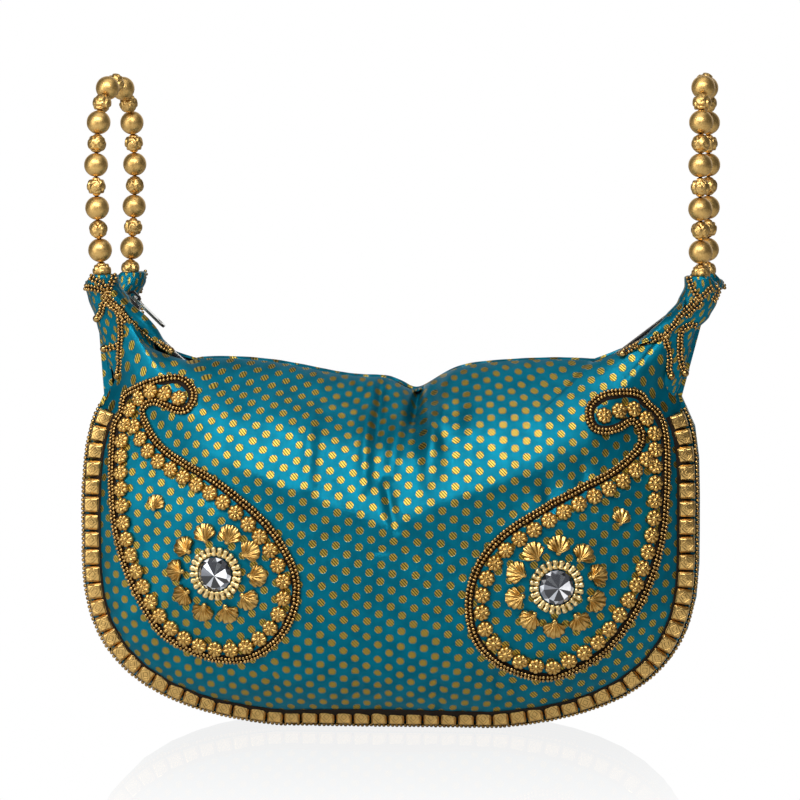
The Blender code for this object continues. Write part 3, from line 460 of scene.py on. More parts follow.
def dotMask(nodes, turned):
    # 1 in the dots of two shifted lattices
    cell = (2 * cloth["columnPitch"], cloth["rowPitch"], 1.0)
    radius = cloth["dotDiameter"] / 2
    dots = None
    for shift in ((0.0, 0.0, 0.0), (0.5, 0.5, 0.0)):
        scaled = nodes.vector("ADD", nodes.vector("DIVIDE", turned, cell), shift)
        local = nodes.vector("SUBTRACT", nodes.vector("FRACTION", scaled), (0.5, 0.5, 0.0))
        local = nodes.vector("MULTIPLY", local, (cell[0], cell[1], 0.0))
        dot = nodes.step(nodes.vector("LENGTH", local), radius - 0.0002, radius + 0.0001, 1.0, 0.0)
        dots = dot if dots is None else nodes.math("MAXIMUM", dots, dot)
    return dots


def makeBrocade(name, mapped):
    # Woven brocade, placed by the unwrapping where the piece has one
    made = newMaterial(name, cloth["teal"], cloth["roughness"])
    nodes = Nodes(made)

    def wave(value, pitch):
        return nodes.math("SINE", nodes.math("MULTIPLY", value, 2 * math.pi / pitch))

    where = nodes.add("ShaderNodeUVMap", uv_map="cloth") if mapped else gussetPlace(nodes)
    angle = (where, None, None, cloth["turn"])
    turned = nodes.add("ShaderNodeVectorRotate", angle, rotation_type="Z_AXIS")
    dots = dotMask(nodes, turned)
    across, along, _ = nodes.parts(turned)
    stripes = nodes.step(wave(nodes.math("ADD", across, along), cloth["stripePitch"]), -0.5, 0.2)
    warp = wave(along, cloth["warpPitch"])
    weft = nodes.math("MULTIPLY", wave(across, cloth["weftPitch"]), 0.25)
    weave = nodes.math("MULTIPLY", warp, nodes.math("ADD", weft, 0.75))
    patches = nodes.step(nodes.noise(cloth["patchScale"], 3.0, where), 0.3, 0.7)
    worn = tuple(channel * cloth["wornShare"] for channel in cloth["teal"])
    base = nodes.mix(patches, (*worn, 1.0), (*cloth["teal"], 1.0))
    gold = nodes.mix(stripes, (*cloth["dotShade"], 1.0), (*cloth["dotGold"], 1.0))
    nodes.use("Base Color", nodes.mix(dots, base, gold))
    shine = nodes.math("ADD", nodes.math("MULTIPLY", dots, cloth["dotShine"]), cloth["satin"])
    nodes.use("Metallic", shine)
    height = nodes.math("ADD", dots, nodes.math("MULTIPLY", weave, cloth["weaveHeight"]))
    nodes.use("Normal", nodes.bump(height, cloth["reliefDepth"], 0.6))
    nodes.shader.inputs["Anisotropic"].default_value = 0.55
    nodes.shader.inputs["Specular IOR Level"].default_value = 0.12
    return made


def makeAgedMetal(name, bright, dark, roughness, scale=900.0, metallic=1.0):
    # Plated metal, darker in its pits
    made = newMaterial(name, bright, roughness, metallic)
    nodes = Nodes(made)
    where = nodes.add("ShaderNodeTexCoord", output=3)
    spots = nodes.noise(scale, 3.0, where)
    nodes.use("Base Color", nodes.mix(nodes.step(spots, 0.35, 0.65), (*dark, 1.0), (*bright, 1.0)))
    nodes.use("Normal", nodes.bump(spots, 0.00005, 0.2))
    return made


brocade = makeBrocade("tealBrocade", True)
gussetBrocade = makeBrocade("gussetBrocade", False)
antiqueGold = makeAgedMetal("antiqueGold", (0.64, 0.41, 0.13), (0.44, 0.26, 0.07), 0.30, 500.0)
paleGold = makeAgedMetal("paleGold", (0.84, 0.66, 0.34), (0.62, 0.45, 0.19), 0.36, 700.0)
seedBead = makeAgedMetal("bronzeSeedBead", (0.53, 0.34, 0.12), (0.24, 0.14, 0.045), 0.22)
satinGold = makeAgedMetal("satinGold", (0.68, 0.45, 0.16), (0.60, 0.37, 0.12), 0.42, 1500.0)
# Near-black colour for strips that paint the shade under and between the trims
paintedShade = newMaterial("paintedShadeStrip", (0.018, 0.012, 0.008), 0.9, Specular_IOR_Level=0.1)
blackTape = newMaterial("blackTape", (0.006, 0.006, 0.007), 0.95, Specular_IOR_Level=0.1)
steel = newMaterial("brightSteel", (0.70, 0.69, 0.66), 0.22, 1.0)


# Panels of stuffed brocade

panelDetail = {
    "columns": 360,
    "rings": 70,
    "puckerDepth": 0.0011,
    "puckers": 65,
    "seamGroove": 0.0018,
    "rippleDepth": 0.0025,
    "slackDepth": 0.0009,
    "wrinkleDepth": 0.0004,
    "creaseGain": 1.7,
    "ridgeGain": 1.5,
    "cornerStand": 0.0065,
    "lip": 0.0026,
}


# Creases of the front as (start, end, depth, half width), seen from the front in metres
frontCreases = (
    ((0.0130, 0.1530), (0.0115, 0.1395), 0.0050, 0.0022),
    ((-0.0035, 0.1560), (-0.0045, 0.1320), 0.0016, 0.0020),
    ((0.0010, 0.1130), (0.0065, 0.0930), 0.0014, 0.0024),
    ((0.0200, 0.1500), (0.0270, 0.1300), 0.0013, 0.0026),
    ((0.0730, 0.1160), (0.0745, 0.1010), 0.0013, 0.0019),
    ((0.0880, 0.1230), (0.0885, 0.1100), 0.0010, 0.0016),
    ((-0.0130, 0.0300), (-0.0125, 0.0120), 0.0012, 0.0018),
    ((-0.0035, 0.0270), (-0.0030, 0.0110), 0.0010, 0.0016),
    ((0.0240, 0.0290), (0.0235, 0.0115), 0.0013, 0.0018),
    ((0.0490, 0.0280), (0.0500, 0.0130), 0.0012, 0.0018),
    ((0.0560, 0.0270), (0.0580, 0.0140), 0.0008, 0.0014),
    ((-0.0500, 0.0300), (-0.0520, 0.0150), 0.0009, 0.0016),
)

# Soft ridges of the stuffed front as (start, end, height, half width)
frontRidges = (
    ((-0.0330, 0.1430), (-0.0335, 0.1120), 0.0013, 0.0030),
    ((-0.0085, 0.1430), (-0.0080, 0.1120), 0.0012, 0.0028),
    ((0.0070, 0.1500), (0.0035, 0.1180), 0.0016, 0.0036),
    ((0.0190, 0.1440), (0.0200, 0.1150), 0.0014, 0.0040),
    ((0.0080, 0.0960), (0.0900, 0.1300), 0.0016, 0.0090),
    ((-0.0850, 0.1290), (0.0030, 0.0930), 0.0014, 0.0085),
)


def nearLine(x, z, start, end, width):
    # 1 on the line, fading to 0 over the width, with tapered ends
    alongX, alongZ = end[0] - start[0], end[1] - start[1]
    share = ((x - start[0]) * alongX + (z - start[1]) * alongZ) / (alongX ** 2 + alongZ ** 2)
    held = min(1.0, max(0.0, share))
    far = math.hypot(x - start[0] - alongX * held, z - start[1] - alongZ * held)
    if far > 3.5 * width:
        return 0.0
    taper = 0.35 + 0.65 * math.sin(math.pi * (0.15 + 0.7 * held))
    return math.exp(-(far / width) ** 2) * taper


def softRelief(x, z, share, direction, slackSeed, rippleSeed):
    # Puckers at the seam, slack cloth beside it and slow ripples over the dome
    seam = math.exp(-((1.0 - share) / 0.075) ** 2)
    pucker = 0.5 + 0.5 * math.cos(direction * panelDetail["puckers"])
    pull = math.exp(-((1.0 - share) / 0.16) ** 2)
    slack = noise.noise(Vector((direction * 14.0, share * 3.0, slackSeed)))
    ripple = noise.noise(Vector((x * 22.0, z * 22.0, rippleSeed))) * (1.0 - share ** 6)
    relief = panelDetail["slackDepth"] * pull * slack + panelDetail["rippleDepth"] * ripple
    return relief - panelDetail["puckerDepth"] * seam * pucker


def frontRelief(x, z, share, direction):
    # Depth of the small folds and creases, positive outwards, in metres
    relief = softRelief(x, z, share, direction, 1.3, 0.3)
    below = smoothstep(bag["studRowTop"] + 0.004, bag["studRowTop"] - 0.010, z)
    relief -= panelDetail["seamGroove"] * math.exp(-((0.975 - share) / 0.035) ** 2) * below
    wrinkle = noise.noise(Vector((x * 75.0, z * 60.0, 2.3))) * (1.0 - share ** 8)
    relief += panelDetail["wrinkleDepth"] * wrinkle
    for start, end, depth, width in frontCreases:
        relief -= panelDetail["creaseGain"] * depth * nearLine(x, z, start, end, width)
    for start, end, height, width in frontRidges:
        relief += panelDetail["ridgeGain"] * height * nearLine(x, z, start, end, width)
    return relief


def backRelief(x, z, share, direction):
    return softRelief(x, z, share, direction, 7.3, 8.3)


# Peaks where the panels' top corners run up into the ears, as (x, z) on the left and right
cornerPeaks = {
    -1: ((-0.1319, 0.1430), (-0.1297, 0.1488), (-0.1262, 0.1540), (-0.1240, 0.1605),
         (-0.1231, 0.1710), (-0.1208, 0.1835), (-0.1160, 0.1762), (-0.1098, 0.1695),
         (-0.1005, 0.1652), (-0.0900, 0.1622)),
    1: ((0.1319, 0.1430), (0.1306, 0.1482), (0.1287, 0.1530), (0.1268, 0.1590),
        (0.1254, 0.1670), (0.1243, 0.1758), (0.1196, 0.1722), (0.1130, 0.1704),
        (0.1052, 0.1682), (0.0975, 0.1652), (0.0900, 0.1624)),
}
cornerStart = {"height": 0.143, "across": 0.090}


def cornerEdge(direction):
    # Place of the panel's edge at a top corner, or None elsewhere
    edge = rimPoint(direction, bag["gussetCrown"])
    side = 1 if edge.x > 0 else -1
    if edge.z < cornerStart["height"] or abs(edge.x) < cornerStart["across"]:
        return None
    line = cornerLines[side]
    low, high = cornerAngles[side]
    share = (math.atan2(edge.z - centre.z, abs(edge.x)) - low) / (high - low)
    position = min(1.0, max(0.0, share)) * (len(line) - 1)
    low = min(len(line) - 2, int(position))
    return line[low].lerp(line[low + 1], position - low)


def cornerAngle(side, isPast):
    # Angle at which the regular edge first passes a corner's start or end
    steps = 400
    for i in range(steps):
        angle = math.pi / 2 * i / steps
        edge = rimPoint(angle if side > 0 else math.pi - angle, bag["gussetCrown"])
        if isPast(edge):
            return math.atan2(edge.z - centre.z, abs(edge.x))
    return math.pi / 2


cornerLines, cornerAngles = {}, {}
for side, points in cornerPeaks.items():
    cornerLines[side] = smoothPath([Vector((x, 0.0, z)) for x, z in points], 0.0005)
    start = cornerAngle(side, lambda edge: edge.z >= cornerStart["height"])
    end = cornerAngle(side, lambda edge: edge.z > centre.z and abs(edge.x) <= cornerStart["across"])
    cornerAngles[side] = (start, end)


def denserCorners(directions):
    # Extra columns where the corners are drawn out into peaks
    found = []
    following = directions[1:] + [directions[0] + 2 * math.pi]
    for direction, further in zip(directions, following):
        found.append(direction)
        if cornerEdge(direction) is not None:
            found += [direction + (further - direction) * k / 3 for k in (1, 2)]
    return found


def makePanel(name, side, cadNode, relief):
    columns = panelDetail["columns"]
    rings = panelDetail["rings"]
    directions = denserCorners(spreadDirections(columns, math.pi / 2, 5 * math.pi / 2, 2.0)[:-1])
    columns = len(directions)
    vertices, uv = [panelPoint(math.pi / 2, 0.0, side)], [(0.0, 0.0)]
    walked = [0.0] * columns
    last = [vertices[0]] * columns
    corners = [cornerEdge(direction) for direction in directions]
    lifts = [smoothstep(0.150, 0.172, corner.z) if corner else 0.0 for corner in corners]
    upper = [smoothstep(0.145, 0.155, rimPoint(direction).z) for direction in directions]

    def addPoint(j, point):
        # The unwrapping keeps lengths along each line from the middle to the seam
        walked[j] += (point - last[j]).length
        last[j] = point
        vertices.append(point)
        uv.append((walked[j] * math.cos(directions[j]), walked[j] * math.sin(directions[j])))

    for i in range(rings):
        share = math.sin(math.pi / 2 * (i + 1) / rings) ** 0.92
        for j, direction in enumerate(directions):
            point = panelPoint(direction, share, side)
            point.y += side * relief(point.x, point.z, share, direction)
            if corners[j] is not None:
                regular = rimPoint(direction, bag["gussetCrown"])
                weight = share ** 9
                point += (corners[j] - Vector((regular.x, 0.0, regular.z))) * weight
                point.y += side * panelDetail["cornerStand"] * lifts[j] * weight
            point.z += panelDetail["lip"] * smoothstep(0.86, 0.99, share) * upper[j]
            addPoint(j, point)
    # Hem turned in at the seam
    for depth, inset in ((0.0011, 0.0001), (0.0, 0.0004)):
        for j, direction in enumerate(directions):
            edge = rimPoint(direction, bag["gussetCrown"] + inset)
            edge.y = side * (halfDepth(edge.z) + 0.0004 + depth)
            if corners[j] is not None:
                edge.x, edge.z = corners[j].x, corners[j].z
                edge.y += side * panelDetail["cornerStand"] * lifts[j]
            edge.z += panelDetail["lip"] * 0.6 * upper[j]
            addPoint(j, edge)
    faces = [(0, 1 + j, 1 + (j + 1) % columns) for j in range(columns)]
    faces += [tuple(reversed(face)) for face in gridFaces(rings + 2, columns, True, 1)]
    if side < 0:
        faces = [tuple(reversed(face)) for face in faces]
        frontSurface["tree"] = BVHTree.FromPolygons(vertices, faces)
    made = addMesh(name, vertices, faces, brocade, uv=uv)
    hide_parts(cadNode)


makePanel("frontPanel", -1, "front_panel", frontRelief)
makePanel("backPanel", 1, "back_panel", backRelief)
print("panels made")

# Studs and the bead string round the front seam

studSet = {
    "size": 0.0078,
    "pitch": 0.0082,
    "length": 0.0073,
    "height": 0.0021,
    "grid": 14,
    "lift": 0.0021,
    "frontal": 0.76,
    "reach": 0.46,
    "gold": (0.66, 0.42, 0.14),
    "groove": (0.20, 0.11, 0.03),
    "turn": 0.05,
    "tip": 0.10,
    "shadeWidth": 0.0060,
    "shadeLift": 0.0005,
}


def studShape():
    # Square pressed stud: wall, flat border, groove and a nested diamond
    count = studSet["grid"]
    vertices, uv = [], []
    for i in range(count + 1):
        for j in range(count + 1):
            u, v = 2 * i / count - 1, 2 * j / count - 1
            u, v = math.copysign(abs(u) ** 0.8, u), math.copysign(abs(v) ** 0.8, v)
            edge = max(abs(u), abs(v))
            diamond = abs(u) + abs(v)
            wall = 0.86 * (1.0 - max(0.0, (edge - 0.66) / 0.34) ** 2.2)
            height = studSet["height"] * (wall + 0.14 * max(0.0, 1.0 - diamond / 1.3))
            corner = 0.5 - 0.025 * smoothstep(1.5, 2.0, diamond)
            uv.append((u, v))
            vertices.append(Vector((u * studSet["length"] * corner, v * studSet["size"] * corner, height)))
    faces = [tuple(reversed(face)) for face in gridFaces(count + 1, count + 1, False)]
    return vertices, faces + [tuple(gridBorder(count + 1, count + 1))], uv


def makeStudMetal():
    # Aged gold with each stud's pressed pattern: nested diamonds in a square, dark in the grooves
    made = newMaterial("studGold", studSet["gold"], 0.28, 1.0)
    nodes = Nodes(made)
    where = nodes.add("ShaderNodeUVMap", uv_map="cloth")
    u, v, _ = nodes.parts(nodes.vector("ABSOLUTE", where))
    square = nodes.math("MAXIMUM", u, v)
    diamond = nodes.math("ADD", u, v)
    grooves = None
    for shape, place, width in ((square, 0.80, 0.07), (diamond, 0.76, 0.08), (diamond, 0.36, 0.07)):
        far = nodes.math("ABSOLUTE", nodes.math("SUBTRACT", shape, place))
        groove = nodes.step(far, 0.0, width, 1.0, 0.0)
        grooves = groove if grooves is None else nodes.math("MAXIMUM", grooves, groove)
    place = nodes.add("ShaderNodeTexCoord", output=3)
    spots = nodes.noise(700.0, 3.0, place)
    wear = nodes.math("MULTIPLY", grooves, nodes.step(spots, 0.25, 0.6, 0.45, 0.9))
    nodes.use("Base Color", nodes.mix(wear, (*studSet["gold"], 1.0), (*studSet["groove"], 1.0)))
    height = nodes.math("SUBTRACT", nodes.math("MULTIPLY", spots, 0.25), grooves)
    nodes.use("Normal", nodes.bump(height, 0.00016, 0.9))
    return made


def seamEnds():
    # Directions where the stud row starts and ends
    shoulder = directionAtHeight(bag["studRowTop"])
    return math.pi - shoulder, 2 * math.pi + shoulder


def studPlace(direction, before, after):
    # Middle, outward normal and line along the seam of one stud, turned partly to the front
    outer = panelPoint(direction, 0.999, -1, gathered=False)
    inner = panelPoint(direction, 1 - studSet["size"] / rimRadius(direction), -1, gathered=False)
    across = (inner - outer).normalized()
    along = (rimPoint(after) - rimPoint(before)).normalized()
    normal = along.cross(across).normalized()
    if normal.y > 0:
        normal = -normal
    normal = normal.lerp(Vector((0.0, -1.0, 0.0)), studSet["frontal"]).normalized()
    turned = normal.cross(along).normalized()
    across = turned if turned.dot(across) > 0 else -turned
    middle = outer + across * studSet["size"] * studSet["reach"] + normal * studSet["lift"]
    return middle, normal, along, across


def studShadeLines(start, end, count):
    # Lines of places across the seam for the strip of painted shade under the studs
    lines = []
    for direction in spreadDirections(count, start, end):
        radius = rimRadius(direction, bag["gussetCrown"])
        toward = Vector((math.cos(direction), 0.0, math.sin(direction)))
        reaches = [0.988 * radius - studSet["shadeWidth"] * k / 4 for k in range(5)]
        spots = [centre + toward * reach for reach in reaches]
        lines.append([(spot.x, spot.z) for spot in spots])
    return lines


def makeStuds():
    start, end = seamEnds()
    coarse = [rimPoint(direction) for direction in spreadDirections(90, start, end)]
    rimLength = sum((b - a).length for a, b in zip(coarse, coarse[1:]))
    studs = round(rimLength / studSet["pitch"])
    directions = spreadDirections(studs * 2, start, end)
    shape = studShape()
    row = Builder()
    for i in range(studs):
        middle, normal, along, across = studPlace(directions[2 * i + 1], directions[2 * i],
                                                  directions[2 * i + 2])
        turn = noise.noise(Vector((i * 3.7, 0.5, 0.2)))
        tip = noise.noise(Vector((i * 2.3, 4.5, 1.2)))
        along = (along + across * turn * studSet["turn"]).normalized()
        normal = (normal + across * tip * studSet["tip"]).normalized()
        row.place(shape, facing(middle, normal, along), uv=shape[2])
    # Painted shade: a dark strip under the studs darkens the gaps between them and the row's inner edge
    addStrip(row, studShadeLines(start, end, studs * 4), studSet["shadeLift"], 1, False)
    made = row.make("studRow", [makeStudMetal(), paintedShade], smooth=50.0)
    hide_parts("stud_row")


beadSet = {
    "seedDiameter": 0.00215,
    "seedPitch": 0.00195,
    "outlineDiameter": 0.00190,
    "outlinePitch": 0.00172,
    "rowOffset": 0.00090,
    "outlineLift": 0.00095,
    "seamGap": 0.0003,
    "jitter": 0.00019,
    "tilt": 0.25,
}


def seedShape(diameter):
    # Seed bead, a little shorter along its hole, which runs along X
    shape = ballShape(diameter, 9, 6, 0.86)
    turn = Matrix.Rotation(math.pi / 2, 4, "Y")
    return [turn @ v for v in shape[0]], shape[1]


frontward = Vector((0.0, -1.0, 0.0))


def threadBeads(row, shape, points, normals, seed):
    # Beads at the points, each with its hole along the string and slightly out of line
    for i, point in enumerate(points):
        along = points[min(len(points) - 1, i + 1)] - points[max(0, i - 1)]
        shift = noise.noise_vector(Vector((i * 1.37, seed, 0.7))) * beadSet["jitter"]
        tilt = noise.noise_vector(Vector((i * 2.11, seed, 5.1))) * beadSet["tilt"]
        row.place(shape, facing(point + shift, normals[i], along.normalized() + tilt))


def makeSeamBeads():
    radius = beadSet["seedDiameter"] / 2
    line = []
    for direction in spreadDirections(340, *seamEnds()):
        point = rimPoint(direction, bag["gussetCrown"] - beadSet["seamGap"] - radius)
        point.y = -(halfDepth(point.z) + beadSet["seamGap"] + radius)
        line.append(point)
    points = smoothPath(line, beadSet["seedPitch"])
    row = Builder()
    threadBeads(row, seedShape(beadSet["seedDiameter"]), points, [frontward] * len(points), 1.0)
    made = row.make("rimBeads", [seedBead])
    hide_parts("rim_bead_string")


makeStuds()
makeSeamBeads()
print("seam made")

# Paisleys

paisley = {
    "leftCrystal": (-0.0744, 0.0727),
    "rightCrystal": (0.0767, 0.0681),
    "leftFirstShell": math.radians(106),
    "rightFirstShell": math.radians(87),
    "lift": 0.00035,
    "flowerDiameter": 0.0076,
    "flowerHeight": 0.0026,
    "flowerPitch": 0.0076,
    "petals": 8,
    "crystalDiameter": 0.0152,
    "crystalHeight": 0.0048,
    "crystalFacets": 16,
    # Painted reflection colour of each long facet, from 0 dark to 3 white
    "paintedFacetReflections": (1, 2, 1, 1, 2, 1, 1, 0, 0, 2, 0, 0, 3, 0, 3, 3),
    "rondelles": 24,
    "rondelleLength": 0.0042,
    "rondelleHeight": 0.0022,
    "shells": 10,
    "shellRing": 0.0369,
    "shellLength": 0.0091,
    "shellWidth": 0.0100,
    "shellHeight": 0.0028,
    "shellSpread": math.radians(118),
    "shellRibs": 7,
    "loneShell": (-0.0282, 0.0302),
    "loneShellSize": 0.84,
    "shadeReach": 0.0027,
    "shadeEdge": 0.0013,
    "rondelleGap": 0.0003,
}
leftFlowerPath = (
    (-0.0189, 0.0764), (-0.0323, 0.0794), (-0.0414, 0.0722), (-0.0454, 0.0604),
    (-0.0454, 0.0456), (-0.0445, 0.0313), (-0.0428, 0.0165), (-0.0384, 0.0020),
    (-0.0317, -0.0123), (-0.0230, -0.0245), (-0.0102, -0.0326), (0.0025, -0.0346),
    (0.0145, -0.0320), (0.0259, -0.0217), (0.0307, -0.0070), (0.0267, 0.0069),
    (0.0186, 0.0183), (0.0078, 0.0281), (-0.0040, 0.0362), (-0.0180, 0.0433),
    (-0.0312, 0.0511), (-0.0401, 0.0630),
)
rightFlowerPath = (
    (-0.0202, 0.0745), (-0.0329, 0.0771), (-0.0417, 0.0677), (-0.0428, 0.0546),
    (-0.0428, 0.0388), (-0.0418, 0.0246), (-0.0386, 0.0101), (-0.0332, -0.0036),
    (-0.0252, -0.0165), (-0.0153, -0.0277), (-0.0005, -0.0358), (0.0068, -0.0363),
    (0.0208, -0.0314), (0.0305, -0.0206), (0.0328, -0.0068), (0.0292, 0.0068),
    (0.0205, 0.0180), (0.0077, 0.0268), (-0.0051, 0.0341), (-0.0175, 0.0402),
    (-0.0290, 0.0462), (-0.0389, 0.0548),
)

# Paths of the double bead strings outside the flowers, closed
leftOutlinePath = (
    (-0.0266, 0.0851), (-0.0190, 0.0848), (-0.0137, 0.0807), (-0.0123, 0.0758),
    (-0.0150, 0.0715), (-0.0196, 0.0711), (-0.0253, 0.0730), (-0.0300, 0.0745),
    (-0.0338, 0.0739), (-0.0364, 0.0701), (-0.0338, 0.0641), (-0.0294, 0.0578),
    (-0.0231, 0.0526), (-0.0143, 0.0479), (-0.0046, 0.0432), (0.0034, 0.0385),
    (0.0111, 0.0329), (0.0190, 0.0263), (0.0255, 0.0195), (0.0306, 0.0120),
    (0.0347, 0.0038), (0.0365, -0.0037), (0.0359, -0.0127), (0.0330, -0.0211),
    (0.0277, -0.0290), (0.0199, -0.0355), (0.0112, -0.0391), (0.0020, -0.0396),
    (-0.0071, -0.0381), (-0.0171, -0.0340), (-0.0261, -0.0286), (-0.0332, -0.0186),
    (-0.0389, -0.0085), (-0.0442, 0.0043), (-0.0479, 0.0188), (-0.0495, 0.0336),
    (-0.0503, 0.0480), (-0.0502, 0.0626), (-0.0471, 0.0689), (-0.0457, 0.0767),
    (-0.0368, 0.0820), (-0.0313, 0.0839),
)
rightOutlinePath = (
    (-0.0303, 0.0850), (-0.0214, 0.0837), (-0.0149, 0.0798), (-0.0135, 0.0742),
    (-0.0158, 0.0692), (-0.0210, 0.0676), (-0.0269, 0.0689), (-0.0320, 0.0717),
    (-0.0343, 0.0703), (-0.0365, 0.0665), (-0.0358, 0.0607), (-0.0313, 0.0558),
    (-0.0247, 0.0505), (-0.0158, 0.0459), (-0.0056, 0.0409), (0.0037, 0.0360),
    (0.0133, 0.0303), (0.0221, 0.0243), (0.0295, 0.0170), (0.0353, 0.0078),
    (0.0381, -0.0013), (0.0387, -0.0103), (0.0373, -0.0194), (0.0336, -0.0271),
    (0.0271, -0.0341), (0.0183, -0.0389), (0.0088, -0.0418), (-0.0001, -0.0415),
    (-0.0089, -0.0378), (-0.0193, -0.0318), (-0.0267, -0.0242), (-0.0325, -0.0160),
    (-0.0377, -0.0071), (-0.0420, 0.0032), (-0.0450, 0.0135), (-0.0471, 0.0253),
    (-0.0480, 0.0386), (-0.0482, 0.0500), (-0.0478, 0.0630), (-0.0450, 0.0732),
    (-0.0393, 0.0795), (-0.0362, 0.0837),
)


class Ornament:
    # One paisley and its place on the panel; its paths are mirrored about the crystal on the right
    def __init__(self, word, side, flowerPath, outlinePath):
        self.word = word
        self.side = side
        self.crystal = paisley[f"{word}Crystal"]
        self.firstShell = paisley[f"{word}FirstShell"]
        self.flowerPath = flowerPath
        self.outlinePath = outlinePath

    def faceOn(self, point, lift=0.0):
        return onFront(self.crystal[0] - self.side * point[0], self.crystal[1] + point[1], lift)[0]

    def place(self, point):
        return self.faceOn(point, paisley["lift"])

    def normal(self, place):
        return onFront(place.x, place.z)[1]


def flowerShape():
    # Small dome of eight petals round a button
    radius, height = paisley["flowerDiameter"] / 2, paisley["flowerHeight"]

    def petals(r, z, angle):
        reach = min(1.0, r / radius)
        wave = abs(math.cos(angle * paisley["petals"] / 2)) ** 0.5
        groove = smoothstep(0.22, 0.42, reach) * (1.0 - wave)
        return r * (1.0 - 0.13 * groove * reach), z - height * 0.30 * groove * (1.1 - 0.5 * reach)

    shares = ((0.92, 0.0), (1.0, 0.22), (0.985, 0.42), (0.90, 0.64), (0.76, 0.80), (0.58, 0.87),
              (0.42, 0.84), (0.30, 0.74), (0.25, 0.78), (0.21, 0.93), (0.12, 1.0))
    return revolve([(radius * r, height * h) for r, h in shares], 48, petals)


def shellShape():
    # Scallop sequin: ribs fan out from a raised hinge, and the fan opens along X
    length, width, height = paisley["shellLength"], paisley["shellWidth"], paisley["shellHeight"]
    spread = paisley["shellSpread"]
    columns, steps = ((48, 8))
    hinge = -length * 0.36
    vertices = [Vector((hinge, 0.0, height * 0.72))]
    for i in range(1, steps + 1):
        reach = i / steps
        arch = math.sqrt(max(0.0, 1.0 - (reach * 0.95) ** 2.4))
        for j in range(columns + 1):
            angle = -spread + 2 * spread * j / columns
            valley = abs(math.sin(angle / spread * math.pi * paisley["shellRibs"] / 2)) ** 2.2
            rib = 1.0 - 2.0 * valley
            scallop = 0.5 + 0.015 * rib
            x = length * math.cos(angle) * scallop
            y = width * math.sin(angle) * scallop
            z = height * (0.08 + 0.76 * arch + 0.12 * smoothstep(0.0, 0.5, reach) * rib)
            vertices.append(Vector((hinge + (x - hinge) * reach, y * reach, z)))
    count = columns + 1
    last = 1 + (steps - 1) * count
    base = len(vertices)
    vertices += [Vector((edge.x, edge.y, 0.0)) for edge in vertices[last:]]
    faces = [(0, 1 + j, 2 + j) for j in range(columns)]
    for i in range(steps):
        a, b = 1 + i * count, 1 + (i + 1) * count
        faces += [(a + j, b + j, b + j + 1, a + j + 1) for j in range(columns)]
    faces.append((0, last + columns, base + columns, base, last))
    knob = ballShape(width * 0.25, 12, 6, 0.75)
    vertices += [v + Vector((hinge, 0.0, height * 0.45)) for v in knob[0]]
    faces += [tuple(base + count + i for i in face) for face in knob[1]]
    return vertices, faces


def rondelleShape():
    # Barrel bead with a ridge at each end, lying along X
    radius, half = paisley["rondelleHeight"] / 2, paisley["rondelleLength"] / 2
    side = ((0.55, 1.0), (0.88, 0.94), (1.04, 0.72), (1.04, 0.42), (0.84, 0.20))
    shares = [(r, -h) for r, h in side] + list(reversed(side))
    vertices, faces = revolve([(radius * r, half * h) for r, h in shares], 14)
    turn = Matrix.Rotation(math.pi / 2, 4, "Y")
    wide = Matrix.Diagonal((1.0, 1.14, 1.0, 1.0))
    return [wide @ (turn @ v) for v in vertices], faces


def crystalShape():
    # Pointed cut stone over foil, with facets that run from the rim to the middle; each facet gets one of
    # four colours, dark to white, that paint its reflection
    radius, height = paisley["crystalDiameter"] / 2, paisley["crystalHeight"]
    facets = paisley["crystalFacets"]
    vertices, faces, reflectionShades = [], [], []

    def ring(share, z, shift=0.0):
        start = len(vertices)
        for i in range(facets):
            angle = 2 * math.pi * (i + shift) / facets
            vertices.append(Vector((radius * share * math.cos(angle), radius * share * math.sin(angle), z)))
        return list(range(start, start + facets))

    base, low, high = ring(0.92, 0.0), ring(1.0, height * 0.27), ring(1.0, height * 0.45)
    crown = ring(0.80, height * 0.74, 0.5)
    vertices.append(Vector((radius * 0.05, -radius * 0.05, height)))
    for i in range(facets):
        k = (i + 1) % facets
        faces += [(base[i], base[k], low[k], low[i]), (low[i], low[k], high[k], high[i])]
        faces += [(high[i], high[k], crown[i]), (crown[i], high[k], crown[k])]
        faces.append((crown[i], crown[k], len(vertices) - 1))
        reflectionShades += [1, 1, (0, 1, 2, 1, 3)[i % 5], (1, 0, 2, 1)[i % 4], paisley["paintedFacetReflections"][i]]
    faces.append(tuple(reversed(base)))
    reflectionShades.append(0)
    return vertices, faces, reflectionShades


# Dark, grey, light and white facet colours that paint the stone's reflections
paintedReflections = [
    newMaterial("paintedReflectionDark", (0.02, 0.021, 0.025), 0.03, 0.5),
    newMaterial("paintedReflectionGrey", (0.20, 0.21, 0.24), 0.03, 0.8),
    newMaterial("paintedReflectionLight", (0.62, 0.65, 0.70), 0.03, 0.9),
    newMaterial("paintedReflectionWhite", (0.95, 0.96, 1.0), 0.06, 0.2),
]
for paintedReflection in paintedReflections:
    paintedReflection.node_tree.nodes["Principled BSDF"].inputs["Coat Weight"].default_value = 1.0


def makeFlowers(ornament):
    points = smoothPath(ornament.flowerPath, paisley["flowerPitch"], place=ornament.place)
    flowers = Builder()
    shape = flowerShape()
    for i, point in enumerate(points):
        turn = Vector((math.cos(i * 1.9), 0.0, math.sin(i * 1.9)))
        tip = noise.noise_vector(Vector((i * 1.7, ornament.side, 2.2))) * 0.12
        flowers.place(shape, facing(point, ornament.normal(point) + tip, turn))
    made = flowers.make(f"{ornament.word}Flowers", [antiqueGold], smooth=60.0)
    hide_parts(f"{ornament.word}_flower_chain")
    return points


